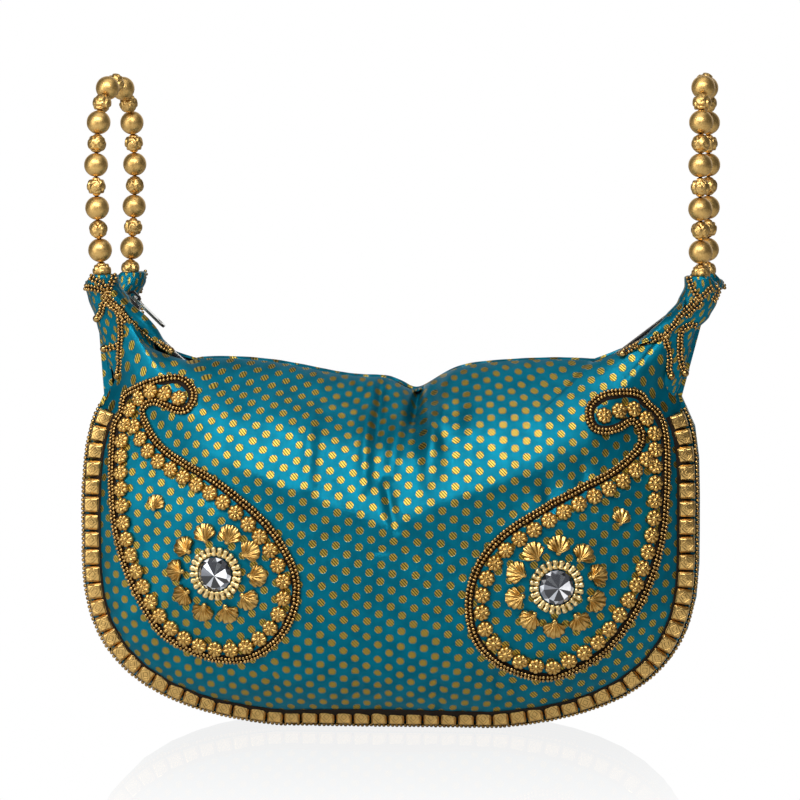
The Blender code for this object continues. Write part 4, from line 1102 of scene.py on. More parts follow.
def outlineShadeLines(line, flowers):
    # Lines of places from just outside the double string towards the nearest flower, for a strip of painted
    # shade between them
    lines = []
    for point in line:
        near = min(flowers, key=lambda flower: (flower - point).length)
        toward = Vector((near.x - point.x, 0.0, near.z - point.z))
        inward = toward.normalized() * min(0.8 * toward.length, paisley["shadeReach"])
        outer = point - toward.normalized() * paisley["shadeEdge"]
        steps = [outer.lerp(point + inward, k / 3) for k in range(4)]
        lines.append([(spot.x, spot.z) for spot in steps])
    return lines


def makeOutline(ornament, flowers):
    # Two strings of seed beads side by side
    outline = Builder()
    bead = seedShape(beadSet["outlineDiameter"])
    line = smoothPath(ornament.outlinePath, 0.0012, closed=True, place=ornament.faceOn)
    for row, offset in enumerate((-beadSet["rowOffset"], beadSet["rowOffset"])):
        moved = []
        for i, point in enumerate(line):
            along = line[(i + 1) % len(line)] - line[i - 1]
            normal = ornament.normal(point)
            across = normal.cross(along).normalized()
            moved.append(point + across * offset + normal * beadSet["outlineLift"])
        beads = smoothPath(moved, beadSet["outlinePitch"], closed=True)
        threadBeads(outline, bead, beads, [frontward] * len(beads), 10.0 + row + ornament.side)
    # Painted shade: a dark strip darkens the cloth between the bead string and the flowers
    addStrip(outline, outlineShadeLines(line, flowers), 0.0003, 1, True)
    made = outline.make(f"{ornament.word}Outline", [seedBead, paintedShade])
    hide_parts(f"{ornament.word}_bead_outline")


def makeCrystal(ornament):
    # The stone and the ring of rondelles round it
    middle = ornament.place((0.0, 0.0))
    normal = ornament.normal(middle)
    turned = facing(middle, normal, Vector((0.9, 0.0, 0.3)))
    vertices, faces, reflectionShades = crystalShape()
    stone = Builder()
    stone.add([turned @ v for v in vertices], faces)
    # Each facet takes its painted reflection colour
    stone.slots = reflectionShades
    made = stone.make(f"{ornament.word}Crystal", paintedReflections, smooth=0.0)
    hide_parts(f"{ornament.word}_crystal")

    ring = Builder()
    radius = (paisley["crystalDiameter"] + paisley["rondelleLength"]) / 2 + paisley["rondelleGap"]
    bead = rondelleShape()
    for i in range(paisley["rondelles"]):
        angle = 2 * math.pi * i / paisley["rondelles"]
        spot = turned @ Vector((radius * math.cos(angle), radius * math.sin(angle), 0.0))
        spot = onFront(spot.x, spot.z, paisley["lift"] + paisley["rondelleHeight"] / 2)[0]
        ring.place(bead, facing(spot, normal, spot - middle))
    made = ring.make(f"{ornament.word}Rondelles", [paleGold])
    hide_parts(f"{ornament.word}_rondelle_ring")


def makeShells(ornament):
    # The ring of shells and the lone smaller one
    shells = Builder()
    shape = shellShape()
    middle = ornament.faceOn((0.0, 0.0))
    nodes = [f"{ornament.word}_lone_shell"]
    for i in range(paisley["shells"]):
        angle = ornament.firstShell - 2 * math.pi * i / paisley["shells"]
        outward = Vector((math.cos(angle), 0.0, math.sin(angle)))
        spot = middle + outward * paisley["shellRing"] / 2
        place, normal = onFront(spot.x, spot.z, paisley["lift"])
        shells.place(shape, facing(place, normal, outward))
        nodes.append(f"{ornament.word}_shell_{i + 1:02d}")
    lone = ornament.faceOn(paisley["loneShell"])
    place, normal = onFront(lone.x, lone.z, paisley["lift"])
    scale = Matrix.Scale(paisley["loneShellSize"], 4)
    shells.place(shape, facing(place, normal, Vector((0.25, 0.0, 1.0))) @ scale)
    made = shells.make(f"{ornament.word}Shells", [antiqueGold], smooth=50.0)
    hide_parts(*nodes)


for ornament in (Ornament("left", -1, leftFlowerPath, leftOutlinePath),
                 Ornament("right", 1, rightFlowerPath, rightOutlinePath)):
    flowers = makeFlowers(ornament)
    makeOutline(ornament, flowers)
    makeCrystal(ornament)
    makeShells(ornament)
print("paisleys made")

# Handles: satin beads with carved roses between them

handleSet = {
    "earSpread": 0.269,
    "earLean": 0.0045,
    "earTop": 0.2035,
    "earDepth": 0.0165,
    "footSpread": 0.243,
    "footHeight": 0.1535,
    "footDepth": 0.0050,
    "cupDepth": 0.0022,
    "turnGap": 0.0004,
    "leftTurn": 0.0075,
    "rightTurn": 0.0026,
    "loopTop": 0.2965,
    "loopWidth": 0.047,
    "loopProfile": ((0.93, 0.28), (1.0, 0.56), (0.82, 0.82), (0.42, 0.965)),
    "bigDiameter": 0.0108,
    "smallDiameter": 0.0086,
    "carving": 0.13,
    "roseStretch": 1.10,
    "threadDiameter": 0.0016,
}


def earTopX(side):
    return side * handleSet["earSpread"] / 2 + handleSet["earLean"]


def earAxis(side, facingSide):
    # Foot and top of an ear's middle line
    turn = handleSet["leftTurn"] if side < 0 else handleSet["rightTurn"]
    shift = turn if facingSide > 0 else 0.0
    footDepth = bag["mouthWidth"] / 2 + 0.0003 + handleSet["footDepth"] / 2
    foot = Vector((side * handleSet["footSpread"] / 2, facingSide * footDepth, handleSet["footHeight"]))
    top = Vector((earTopX(side) + shift, facingSide * handleSet["earDepth"], handleSet["earTop"]))
    return foot, top


def bottomBead(side, facingSide):
    foot, top = earAxis(side, facingSide)
    rise = handleSet["smallDiameter"] / 2 + handleSet["turnGap"] - handleSet["cupDepth"]
    return top + (top - foot).normalized() * rise


def bigBeadShape():
    # Round bead, turned in a little at its hole, which runs along Z
    radius = handleSet["bigDiameter"] / 2
    rings = 16
    profile = [(radius * 0.10, -radius * 0.90), (radius * 0.16, -radius * 0.975)]
    for i in range(1, rings):
        angle = math.pi * (0.07 + 0.86 * i / rings) - math.pi / 2
        profile.append((radius * math.cos(angle), radius * math.sin(angle)))
    profile += [(radius * 0.16, radius * 0.975), (radius * 0.10, radius * 0.90)]
    return revolve(profile, 28)


def roseBeadShape():
    # Small bead carved with spiral roses on four sides
    radius = handleSet["smallDiameter"] / 2
    rings, steps = ((22, 40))
    heights = [math.pi * i / rings - math.pi / 2 for i in range(rings + 1)]
    profile = [(radius * math.cos(a) + 1e-6, radius * math.sin(a)) for a in heights]
    turns = [0.4 + math.pi / 2 * k for k in range(4)]
    axes = [Vector((math.cos(turn), math.sin(turn), 0.0)) for turn in turns]
    vertices, faces = revolve(profile, steps)
    carved = []
    for v in vertices:
        out = v.normalized()
        axis = max(axes, key=lambda a: a.dot(out))
        theta = math.acos(max(-1.0, min(1.0, axis.dot(out))))
        side = axis.cross(Vector((0.0, 0.0, 1.0)))
        phi = math.atan2(out.z, out.dot(side))
        groove = (0.5 + 0.5 * math.sin(2 * phi + 11.0 * theta)) ** 2 * smoothstep(0.05, 0.3, theta)
        border = 0.6 * smoothstep(0.65, 0.85, theta)
        shaped = v * (1.0 - handleSet["carving"] * (groove + border))
        carved.append(Vector((shaped.x, shaped.y, shaped.z * handleSet["roseStretch"])))
    return carved, faces


def loopLine(side, spacing):
    # Middle line of a loop from the front ear's bead to the back ear's, standing up
    front, back = bottomBead(side, -1), bottomBead(side, 1)
    middle = (front + back) / 2
    hinge = (back - front).normalized()
    lowHalf, highHalf = (back - front).length / 2, handleSet["loopWidth"] / 2
    rise = handleSet["loopTop"] - handleSet["bigDiameter"] / 2 - middle.z
    half = [(lowHalf, 0.0)] + [(highHalf * w, h) for w, h in handleSet["loopProfile"]]
    profile = [(-y, z) for y, z in half] + [(0.0, 1.0)] + list(reversed(half))
    points = [middle + hinge * y + Vector((0.0, 0.0, rise * z)) for y, z in profile]
    return smoothPath(points, spacing)


def threadShape(line):
    # Six-sided thread along the loop's middle line
    radius, sides = handleSet["threadDiameter"] / 2, 6
    vertices = []
    for i in range(0, len(line), 4):
        along = (line[min(i + 1, len(line) - 1)] - line[max(i - 1, 0)]).normalized()
        placed = facing(line[i], along)
        for k in range(sides):
            angle = math.pi * k / 3
            vertices.append(placed @ Vector((radius * math.cos(angle), radius * math.sin(angle), 0.0)))
    count = len(vertices)
    ends = [tuple(range(sides - 1, -1, -1)), tuple(range(count - sides, count))]
    return vertices, gridFaces(count // sides, sides, True) + ends


def makeHandle(word, side):
    pitch = (handleSet["bigDiameter"] + handleSet["smallDiameter"]) / 2
    slices = 12
    line = loopLine(side, pitch / slices)
    length = len(line) - 1
    beads = 2 * round(length / slices / 2)
    fit = Matrix.Scale(min(1.0, length / slices / beads), 4)
    big, rose = bigBeadShape(), roseBeadShape()
    row = Builder()
    for i in range(beads + 1):
        position = i * length / beads
        whole = min(length - 1, int(position))
        spot = line[whole].lerp(line[whole + 1], position - whole)
        along = line[whole + 1] - line[whole]
        spin = Matrix.Rotation(i * 1.1, 4, "Z")
        row.place(big if i % 2 else rose, facing(spot, along) @ spin @ fit)
    row.add(*threadShape(line), 1)
    made = row.make(f"{word}Beads", [satinGold, blackTape], f"{word}_handle", smooth=50.0)
    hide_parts(f"{word}_handle")


makeHandle("left", -1)
makeHandle("right", 1)
print("handles made")

# Ears: horns of brocade with petal flaps edged with seed beads

earSet = {
    "columns": 72,
    "rows": 56,
    "pleats": 5,
    "pleatDepth": 0.055,
    "creaseDepth": 0.10,
    "cupEase": 0.0005,
    "beadDiameter": 0.00180,
    "beadPitch": 0.00160,
    "rowOffset": 0.00082,
    "endBall": 0.0036,
    "rimDrop": 0.0027,
    "flapThickness": 0.0009,
    "flapLift": 0.00176,
    "leastDepth": 0.012,
    "frontOnly": {-1: (3, 4), 1: (3,)},
}

# Cross-sections seen from the front as (height, outer x, inner x, depth position, half depth)
earSections = {
    -1: ((0.1500, -0.1240, -0.0960, 0.0098, 0.0024), (0.1590, -0.1262, -0.1010, 0.0102, 0.0030),
         (0.1690, -0.1306, -0.1070, 0.0108, 0.0036), (0.1847, -0.1345, -0.1130, 0.0130, 0.0054),
         (0.1930, -0.1368, -0.1180, 0.0150, 0.0066), (0.2000, -0.1384, -0.1222, 0.0162, 0.0072),
         (0.2040, -0.1380, -0.1230, 0.0167, 0.0070)),
    1: ((0.1500, 0.1290, 0.0980, 0.0098, 0.0024), (0.1600, 0.1325, 0.1040, 0.0102, 0.0030),
        (0.1715, 0.1352, 0.1110, 0.0108, 0.0036), (0.1788, 0.1376, 0.1170, 0.0118, 0.0046),
        (0.1861, 0.1440, 0.1240, 0.0136, 0.0060), (0.1930, 0.1472, 0.1296, 0.0152, 0.0070),
        (0.2000, 0.1482, 0.1325, 0.0164, 0.0073), (0.2040, 0.1473, 0.1324, 0.0167, 0.0070)),
}

earBackSections = {
    -1: ((0.1500, -0.1240, -0.0960, 0.0098, 0.0024), (0.1590, -0.1262, -0.1040, 0.0102, 0.0030),
         (0.1690, -0.1306, -0.1110, 0.0108, 0.0036), (0.1847, -0.1330, -0.1180, 0.0130, 0.0054),
         (0.1930, -0.1332, -0.1188, 0.0150, 0.0066), (0.2000, -0.1306, -0.1152, 0.0162, 0.0072),
         (0.2040, -0.1301, -0.1151, 0.0167, 0.0070)),
    1: ((0.1500, 0.1290, 0.0980, 0.0098, 0.0024), (0.1600, 0.1325, 0.1040, 0.0102, 0.0030),
        (0.1715, 0.1352, 0.1110, 0.0108, 0.0036), (0.1788, 0.1376, 0.1180, 0.0118, 0.0046),
        (0.1861, 0.1430, 0.1262, 0.0136, 0.0060), (0.1930, 0.1472, 0.1322, 0.0152, 0.0070),
        (0.2000, 0.1504, 0.1349, 0.0164, 0.0073), (0.2040, 0.1500, 0.1350, 0.0167, 0.0070)),
}

# Bead strings as (path, True where it ends in a ball); each path runs over the ear's outside
earStrings = {
    -1: (
        (((-0.1379, 0.2036), (-0.1388, 0.2016), (-0.1370, 0.1997), (-0.1333, 0.1983),
          (-0.1301, 0.1976), (-0.1279, 0.1960)), False),
        (((-0.1351, 0.2041), (-0.1329, 0.2022), (-0.1301, 0.2008), (-0.1279, 0.1985),
          (-0.1270, 0.1950)), False),
        (((-0.1245, 0.2042), (-0.1242, 0.2030), (-0.1251, 0.2012), (-0.1260, 0.1988),
          (-0.1265, 0.1952)), False),
        (((-0.1274, 0.1947), (-0.1251, 0.1929), (-0.1206, 0.1898), (-0.1174, 0.1853),
          (-0.1133, 0.1807), (-0.1084, 0.1762), (-0.1038, 0.1731), (-0.1002, 0.1708)), True),
        (((-0.1285, 0.1950), (-0.1262, 0.1908), (-0.1222, 0.1877), (-0.1192, 0.1836)), False),
        (((-0.1279, 0.1934), (-0.1261, 0.1911), (-0.1236, 0.1889), (-0.1223, 0.1852),
          (-0.1220, 0.1812), (-0.1222, 0.1766), (-0.1226, 0.1721), (-0.1230, 0.1676),
          (-0.1230, 0.1630), (-0.1240, 0.1594)), True),
        (((-0.1274, 0.1934), (-0.1297, 0.1902), (-0.1307, 0.1870), (-0.1322, 0.1852)), True),
        (((-0.1240, 0.1721), (-0.1262, 0.1712), (-0.1289, 0.1707)), True),
    ),
    1: (
        (((0.1440, 0.2041), (0.1468, 0.2010), (0.1472, 0.1970), (0.1455, 0.1938)), False),
        (((0.1448, 0.2000), (0.1413, 0.1962), (0.1377, 0.1938), (0.1342, 0.1902),
          (0.1315, 0.1880), (0.1293, 0.1848), (0.1280, 0.1826), (0.1257, 0.1799),
          (0.1240, 0.1776)), False),
        (((0.1345, 0.2040), (0.1365, 0.1985), (0.1395, 0.1930), (0.1362, 0.1898),
          (0.1330, 0.1868)), False),
        (((0.1240, 0.1776), (0.1200, 0.1767), (0.1164, 0.1749), (0.1119, 0.1736),
          (0.1084, 0.1718), (0.1061, 0.1704)), True),
        (((0.1240, 0.1772), (0.1247, 0.1736), (0.1256, 0.1700), (0.1260, 0.1665),
          (0.1258, 0.1624), (0.1263, 0.1606)), True),
        (((0.1377, 0.1822), (0.1351, 0.1826), (0.1320, 0.1808), (0.1307, 0.1772),
          (0.1307, 0.1736), (0.1307, 0.1692), (0.1316, 0.1647), (0.1325, 0.1620)), True),
    ),
}

# Flap over the panel's corner as its beaded edge and its free edge
earFlaps = {
    -1: (((-0.1270, 0.1945), (-0.1206, 0.1898), (-0.1174, 0.1853), (-0.1133, 0.1807), (-0.1084, 0.1762),
          (-0.1038, 0.1731), (-0.1002, 0.1708)),
         ((-0.1237, 0.1997), (-0.1190, 0.1936), (-0.1145, 0.1892), (-0.1098, 0.1850), (-0.1056, 0.1799),
          (-0.1029, 0.1749), (-0.0998, 0.1706))),
    1: (((0.1315, 0.1880), (0.1280, 0.1826), (0.1240, 0.1776), (0.1200, 0.1767), (0.1164, 0.1749),
         (0.1119, 0.1736), (0.1061, 0.1704)),
        ((0.1330, 0.1951), (0.1290, 0.1906), (0.1250, 0.1866), (0.1204, 0.1822), (0.1164, 0.1785),
         (0.1120, 0.1750), (0.1057, 0.1704))),
}


def evenly(points, count):
    # The same number of points along any path, given as pairs seen from the front
    line = smoothPath([Vector((x, 0.0, z)) for x, z in points], 0.0004)
    return [line[round(i * (len(line) - 1) / (count - 1))] for i in range(count)]


def sectionAt(sections, height):
    # Smooth values of the cross-sections at a height
    for low, high in zip(sections, sections[1:]):
        if height <= high[0] or high is sections[-1]:
            share = min(1.0, max(0.0, (height - low[0]) / (high[0] - low[0])))
            share = 0.5 * share + 0.5 * smoothstep(0.0, 1.0, share)
            return [a + (b - a) * share for a, b in zip(low[1:], high[1:])]


def rimDrop(side, facingSide, x, z):
    # The ear's rim is lower on its outer side, where the loop swings down
    outward = side * (x - bottomBead(side, facingSide).x)
    return earSet["rimDrop"] * smoothstep(0.0035, 0.0072, outward) * smoothstep(0.1965, 0.2035, z)


def makeHorn(side, facingSide):
    sections = (earSections if facingSide < 0 else earBackSections)[side]
    columns = earSet["columns"]
    rows = earSet["rows"]
    low, high = sections[0][0], sections[-1][0]
    bead = bottomBead(side, facingSide)
    vertices, uv = [], []
    for i in range(rows + 1):
        rise = i / rows
        height = low + (high - low) * rise
        outer, inner, depth, half = sectionAt(sections, height)
        middle = (outer + inner) / 2
        width = abs(outer - inner) / 2
        fold = math.sin(math.pi * min(1.0, rise * 1.08)) ** 0.7
        for j in range(columns + 1):
            angle = 2 * math.pi * j / columns
            pleat = earSet["pleatDepth"] * math.cos(earSet["pleats"] * angle + 3.0 * rise + side)
            spot = Vector((math.cos(angle) * 1.6, math.sin(angle) * 1.6, 4.0 * rise + side))
            reach = 1.0 + (pleat + earSet["creaseDepth"] * noise.noise(spot)) * fold
            x = middle + width * math.cos(angle) * reach
            y = facingSide * (depth + half * math.sin(angle) * reach)
            vertices.append(Vector((x, y, height - rimDrop(side, facingSide, x, height))))
            uv.append((0.028 * (angle - math.pi) * 0.8 + side * 0.1, height * 1.05))
    # The cup is turned in under the bottom bead
    outerRing = vertices[-(columns + 1):]
    radius = handleSet["smallDiameter"] / 2 + earSet["cupEase"]
    for down in (0.0006, -0.0002, -0.0014, -0.0026, -0.0038):
        for j in range(columns + 1):
            z = outerRing[j].z + down
            out = Vector((outerRing[j].x - bead.x, outerRing[j].y - bead.y, 0.0))
            if down > 0:
                inside = (radius * 1.16 + out.length) / 2
            else:
                inside = math.sqrt(max(1e-8, radius ** 2 - (bead.z - z) ** 2))
            place = bead + out.normalized() * inside
            vertices.append(Vector((place.x, place.y, z)))
            uv.append((uv[j][0], (z if down > 0 else 2 * high - z) * 1.05))
    count = columns + 1
    faces = gridFaces(len(vertices) // count, count, False)
    if facingSide > 0:
        faces = [tuple(reversed(face)) for face in faces]
    faces.append(tuple(range(len(vertices) - count, len(vertices))))
    faces.append(tuple(range(count)))
    return vertices, faces, uv


def makeFlap(side):
    # Petal of cloth on the front, bowed outwards between its beaded and its free edge
    count, across = ((28, 9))
    beaded, free = (evenly(path, count) for path in earFlaps[side])
    vertices, uv = [], []
    for layer in (0.0, 1.0):
        for i in range(count):
            for j in range(across):
                share = j / (across - 1)
                spot = beaded[i].lerp(free[i], share)
                _, _, depth, half = sectionAt(earSections[side], min(spot.z, 0.2040))
                bow = (0.3 + math.sin(math.pi * share)) * earSet["flapLift"]
                stand = max(depth + half * (0.95 - 0.45 * share) + bow, 0.0172 - 0.0050 * share)
                wave = 0.0003 * math.sin(9.0 * i / count + 3 * share)
                y = earSet["flapThickness"] * layer - stand - wave
                vertices.append(Vector((spot.x, y, spot.z)))
                uv.append((spot.x * 1.1 + 0.3 * side, spot.z * 1.1))
    size = count * across
    front = gridFaces(count, across, False)
    faces = front + [tuple(reversed([size + i for i in face])) for face in front]
    border = gridBorder(count, across)
    for a, b in zip(border, border[1:] + border[:1]):
        faces.append((b, a, a + size, b + size))
    if side < 0:
        faces = [tuple(reversed(face)) for face in faces]
    return vertices, faces, uv


def stringPlaces(path, side, facingSide, tree):
    # Points of a bead string laid over the ear, and over the panel on the front
    turn = handleSet["leftTurn"] if side < 0 else handleSet["rightTurn"]
    radius = earSet["beadDiameter"] / 2
    trees = [tree, frontSurface["tree"]] if facingSide < 0 else [tree]
    found = []
    for point in smoothPath([Vector((x, 0.0, z)) for x, z in path], 0.0006):
        x = point.x + (turn * smoothstep(0.155, 0.195, point.z) if facingSide > 0 else 0.0)
        ray = Vector((x, facingSide * 0.2, point.z)), Vector((0.0, -facingSide, 0.0))
        hits = [hit for hit in (one.ray_cast(*ray)[0] for one in trees) if hit is not None]
        if hits:
            depth = max(earSet["leastDepth"], *(facingSide * hit.y for hit in hits))
            z = point.z - rimDrop(side, facingSide, x, point.z)
            found.append(Vector((x, facingSide * (depth + radius * 0.7), z)))
    for _ in range(3):
        for k in range(1, len(found) - 1):
            found[k].y = (found[k - 1].y + 2 * found[k].y + found[k + 1].y) / 4
    return found


def makeEar(side, facingSide):
    hand, place = "left" if side < 0 else "right", "Front" if facingSide < 0 else "Back"
    node = f"{hand}_{place.lower()}"
    vertices, faces, uv = makeHorn(side, facingSide)
    if facingSide < 0:
        flap = makeFlap(side)
        faces += [tuple(len(vertices) + i for i in face) for face in flap[1]]
        vertices += flap[0]
        uv += flap[2]
    made = addMesh(f"{hand}{place}Ear", vertices, faces, brocade, uv=uv)
    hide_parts(f"{node}_ear")

    tree = BVHTree.FromPolygons(vertices, faces)
    string = Builder()
    shape = seedShape(earSet["beadDiameter"])
    ball = ballShape(earSet["endBall"], 14, 10)
    outward = Vector((0.0, facingSide, 0.0))
    for number, (path, ended) in enumerate(earStrings[side]):
        if facingSide > 0 and number in earSet["frontOnly"][side]:
            continue
        found = stringPlaces(path, side, facingSide, tree)
        for row in (-1, 1):
            moved = []
            for k, point in enumerate(found):
                along = found[min(k + 1, len(found) - 1)] - found[max(k - 1, 0)]
                across = outward.cross(along).normalized()
                moved.append(point + across * row * earSet["rowOffset"])
            beads = smoothPath(moved, earSet["beadPitch"])
            seed = 30.0 + number + side + row * 0.3
            threadBeads(string, shape, beads, [outward] * len(beads), seed)
        if ended:
            end = found[-1] + (found[-1] - found[-3]).normalized() * earSet["endBall"] * 0.4
            string.place(ball, Matrix.Translation(end))
    made = string.make(f"{hand}{place}EarBeads", [seedBead])
    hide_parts(f"{node}_ear_trim")


for side in (-1, 1):
    for facingSide in (-1, 1):
        makeEar(side, facingSide)
print("ears made")

# Zip: interlocking teeth on black tape, a black slider with a bright top and its pull

zipSet = {
    "footInset": 0.039,
    "topDrop": 0.007,
    "knee": 0.008,
    "drop": 0.0012,
    "stopLength": 0.0030,
    "sliderPlace": 0.0105,
    "toothPitch": 0.00135,
    "toothLength": 0.0011,
    "toothRoot": 0.0006,
    "toothReach": 0.0015,
    "toothHeight": 0.0021,
}


def zipLine():
    # Middle of the zip from the left ear down to the mouth, along it and up to the right ear
    footSpread = bag["width"] / 2 - zipSet["footInset"]
    footDirection = math.atan2(bag["topHeight"] - bag["widestHeight"], footSpread)
    drop = Vector((0.0, 0.0, zipSet["drop"]))

    def slope(side):
        foot = rimPoint(footDirection if side > 0 else math.pi - footDirection, bag["gussetCrown"]) - drop
        return foot, Vector((earTopX(side), 0.0, handleSet["earTop"] - zipSet["topDrop"]))

    def bend(foot, top, inner):
        start = foot + (top - foot).normalized() * zipSet["knee"]
        return [start, start.lerp(foot, 0.55).lerp(foot.lerp(inner, 0.3), 0.4), foot.lerp(inner, 0.45)]

    leftFoot, leftTop = slope(-1)
    rightFoot, rightTop = slope(1)
    mouth = [rimPoint(direction, bag["gussetCrown"]) - drop
             for direction in spreadDirections(15, math.pi - footDirection, footDirection)][1:-1]
    left = [leftTop, *bend(leftFoot, leftTop, mouth[0])]
    right = [*reversed(bend(rightFoot, rightTop, mouth[-1])), rightTop]
    return left + mouth + right


def makeTeeth():
    line = zipLine()
    start = line[0] + (line[1] - line[0]).normalized() * zipSet["stopLength"] * 1.5
    end = line[-1] + (line[-2] - line[-1]).normalized() * zipSet["sliderPlace"]
    chain = smoothPath([start, *line[1:-1], end], zipSet["toothPitch"] / 2)
    length, height = zipSet["toothLength"] / 2, zipSet["toothHeight"] / 2
    profile = ((-length, -height), (length, -height), (length, height * 0.6), (length * 0.6, height),
               (-length * 0.6, height), (-length, height * 0.6))
    teeth = Builder()
    for i, point in enumerate(chain):
        before, after = chain[max(0, i - 1)], chain[min(len(chain) - 1, i + 1)]
        side = 1 if i % 2 else -1
        across = Vector((0.0, float(side), 0.0))
        along = (after - before).normalized()
        up = Vector((-along.z, 0.0, along.x))
        ends = (-zipSet["toothRoot"], zipSet["toothReach"])
        vertices = [point + along * a + up * b + across * y for y in ends for a, b in profile]
        count = len(profile)
        faces = [tuple(range(count)), tuple(range(2 * count - 1, count - 1, -1))]
        faces += [(k, k + count, (k + 1) % count + count, (k + 1) % count) for k in range(count)]
        if side > 0:
            faces = [tuple(reversed(face)) for face in faces]
        teeth.add(vertices, faces)
    made = teeth.make("zipTeeth", [steel], smooth=30.0)
    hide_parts("zip_teeth")


def makeSliderMetal():
    # Black sides and a bright plated top
    made = newMaterial("sliderMetal", (0.012, 0.012, 0.014), 0.3, 0.4)
    nodes = Nodes(made)
    normal = nodes.add("ShaderNodeNewGeometry", output=1)
    facingUp = nodes.vector("DOT_PRODUCT", normal, (0.6917, 0.0, 0.7222))
    bright = nodes.step(facingUp, 0.70, 0.80)
    nodes.use("Base Color", nodes.mix(bright, (0.012, 0.012, 0.014, 1.0), (0.72, 0.71, 0.68, 1.0)))
    nodes.use("Metallic", nodes.step(facingUp, 0.70, 0.80, 0.4, 1.0))
    return made


def dress(nodeNames, material):
    # CAD pieces shown as they are
    for nodeName in nodeNames:
        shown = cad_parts[nodeName]
        shown.data.materials.clear()
        shown.data.materials.append(material)


dress(("gusset", "back_piping"), gussetBrocade)
dress(("front_zip_tape", "back_zip_tape"), blackTape)
dress(("zip_pull", "zip_top_stop", "zip_end_stop"), steel)
dress(("zip_slider",), makeSliderMetal())
makeTeeth()
print("zip made")

# Stage, light and camera

stageSet = {
    "floorColour": (0.75, 0.75, 0.75),
    "mirrorShare": 0.14,
    "mirrorReach": 0.38,
    "skyStrength": 0.10,
    "keyPower": 17.0,
    "fillPower": 3.6,
    "topPower": 1.6,
    "cameraTarget": (0.0036, 0.0, 0.147),
    "cameraAzimuth": 4.5,
    "cameraElevation": 4.0,
    "cameraDistance": 1.7,
    "lens": 168.0,
}


def whiteForCamera(tree, white, shader):
    # White where the camera looks straight at it, the given shader for every other ray
    path = tree.nodes.new("ShaderNodeLightPath")
    mix = tree.nodes.new("ShaderNodeMixShader")
    tree.links.new(path.outputs["Is Camera Ray"], mix.inputs[0])
    tree.links.new(shader, mix.inputs[1])
    tree.links.new(white, mix.inputs[2])
    return mix.outputs[0]


def makeFloor():
    # Glossy white floor whose mirror image fades towards the camera
    mesh = bpy.data.meshes.new("floor")
    reach = 6.0
    corners = [(x * reach, y * reach, 0.0) for x, y in ((-1, -1), (1, -1), (1, 1), (-1, 1))]
    mesh.from_pydata(corners, [], [(0, 1, 2, 3)])
    material = newMaterial("whiteFloor", stageSet["floorColour"], 0.9)
    nodes = Nodes(material)
    tree = nodes.tree
    glow = tree.nodes.new("ShaderNodeEmission")
    mirror = tree.nodes.new("ShaderNodeBsdfGlossy")
    mirror.inputs["Color"].default_value = (1.0, 1.0, 1.0, 1.0)
    mirror.inputs["Roughness"].default_value = 0.0
    _, depth, _ = nodes.parts(nodes.add("ShaderNodeNewGeometry"))
    rising = nodes.step(depth, -stageSet["mirrorReach"], 0.0, 0.0, stageSet["mirrorShare"])
    share = nodes.math("MULTIPLY", rising, nodes.step(depth, 0.0, 0.12, 1.0, 0.0))
    both = tree.nodes.new("ShaderNodeMixShader")
    tree.links.new(share, both.inputs[0])
    tree.links.new(glow.outputs[0], both.inputs[1])
    tree.links.new(mirror.outputs[0], both.inputs[2])
    output = tree.nodes["Material Output"]
    tree.links.new(whiteForCamera(tree, both.outputs[0], nodes.shader.outputs[0]), output.inputs["Surface"])
    mesh.materials.append(material)
    made = bpy.data.objects.new("floor", mesh)
    scene.collection.objects.link(made)


def addLight(name, place, size, power, target=(0.0, 0.0, 0.11)):
    light = bpy.data.lights.new(name, "AREA")
    light.shape = "RECTANGLE"
    light.size, light.size_y = size
    light.energy = power
    lamp = bpy.data.objects.new(name, light)
    lamp.location = place
    lamp.rotation_mode = "QUATERNION"
    lamp.rotation_quaternion = (Vector(target) - Vector(place)).to_track_quat("-Z", "Y")
    scene.collection.objects.link(lamp)


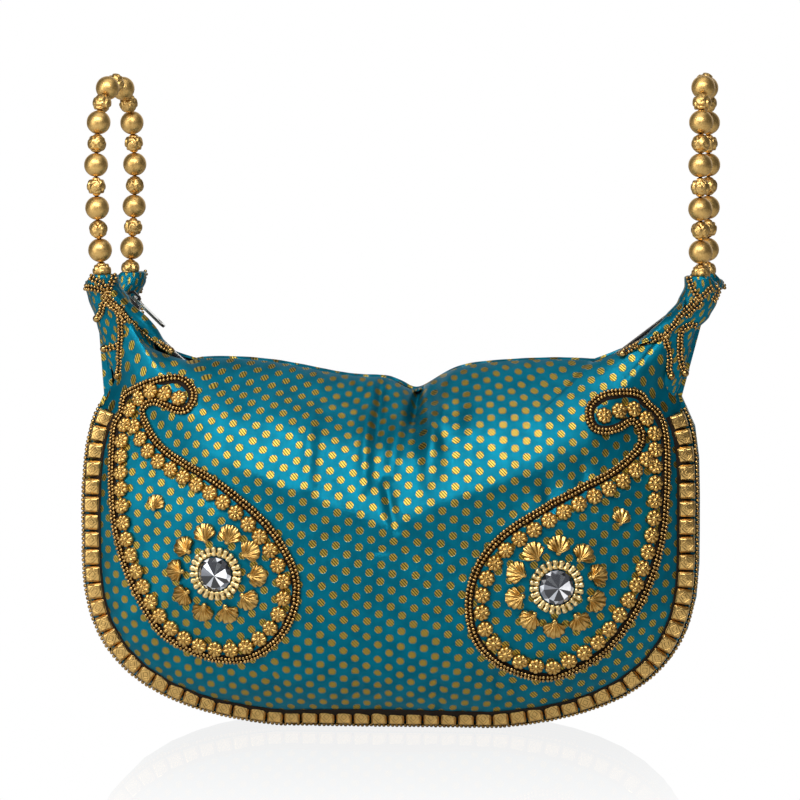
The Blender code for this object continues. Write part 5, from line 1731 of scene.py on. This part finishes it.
def makeStage():
    makeFloor()
    world = bpy.data.worlds.new("studio")
    scene.world = world
    world.use_nodes = True
    tree = world.node_tree
    soft = tree.nodes["Background"]
    soft.inputs["Color"].default_value = (1.0, 1.0, 1.0, 1.0)
    # The backdrop behind the bag is white, so that the floor mirrors white
    where = tree.nodes.new("ShaderNodeTexCoord")
    split = tree.nodes.new("ShaderNodeSeparateXYZ")
    backdrop = tree.nodes.new("ShaderNodeMapRange")
    tree.links.new(where.outputs["Generated"], split.inputs[0])
    tree.links.new(split.outputs[1], backdrop.inputs[0])
    for index, value in enumerate((0.55, 0.85, stageSet["skyStrength"], 1.0)):
        backdrop.inputs[1 + index].default_value = value
    tree.links.new(backdrop.outputs[0], soft.inputs["Strength"])
    white = tree.nodes.new("ShaderNodeBackground")
    white.inputs["Color"].default_value = (1.0, 1.0, 1.0, 1.0)
    tree.links.new(whiteForCamera(tree, white.outputs[0], soft.outputs[0]),
                   tree.nodes["World Output"].inputs["Surface"])
    addLight("keyLight", (-0.15, -0.95, 0.92), (1.30, 0.34), stageSet["keyPower"])
    addLight("fillLight", (-0.95, -0.80, 0.35), (0.45, 0.60), stageSet["fillPower"])
    addLight("topLight", (0.05, -0.10, 1.05), (0.80, 0.45), stageSet["topPower"])


def makeCamera():
    data = bpy.data.cameras.new("photoCamera")
    data.lens = stageSet["lens"]
    data.sensor_width = 36.0
    data.clip_start, data.clip_end = 0.05, 30.0
    camera = bpy.data.objects.new("photoCamera", data)
    azimuth, elevation = math.radians(stageSet["cameraAzimuth"]), math.radians(stageSet["cameraElevation"])
    back = Vector((math.sin(azimuth) * math.cos(elevation), -math.cos(azimuth) * math.cos(elevation),
                   math.sin(elevation)))
    camera.location = Vector(stageSet["cameraTarget"]) + back * stageSet["cameraDistance"]
    camera.rotation_mode = "QUATERNION"
    camera.rotation_quaternion = (-back).to_track_quat("-Z", "Y")
    scene.collection.objects.link(camera)
    scene.camera = camera


makeStage()
makeCamera()
print("stage made")

bpy.context.view_layer.update()
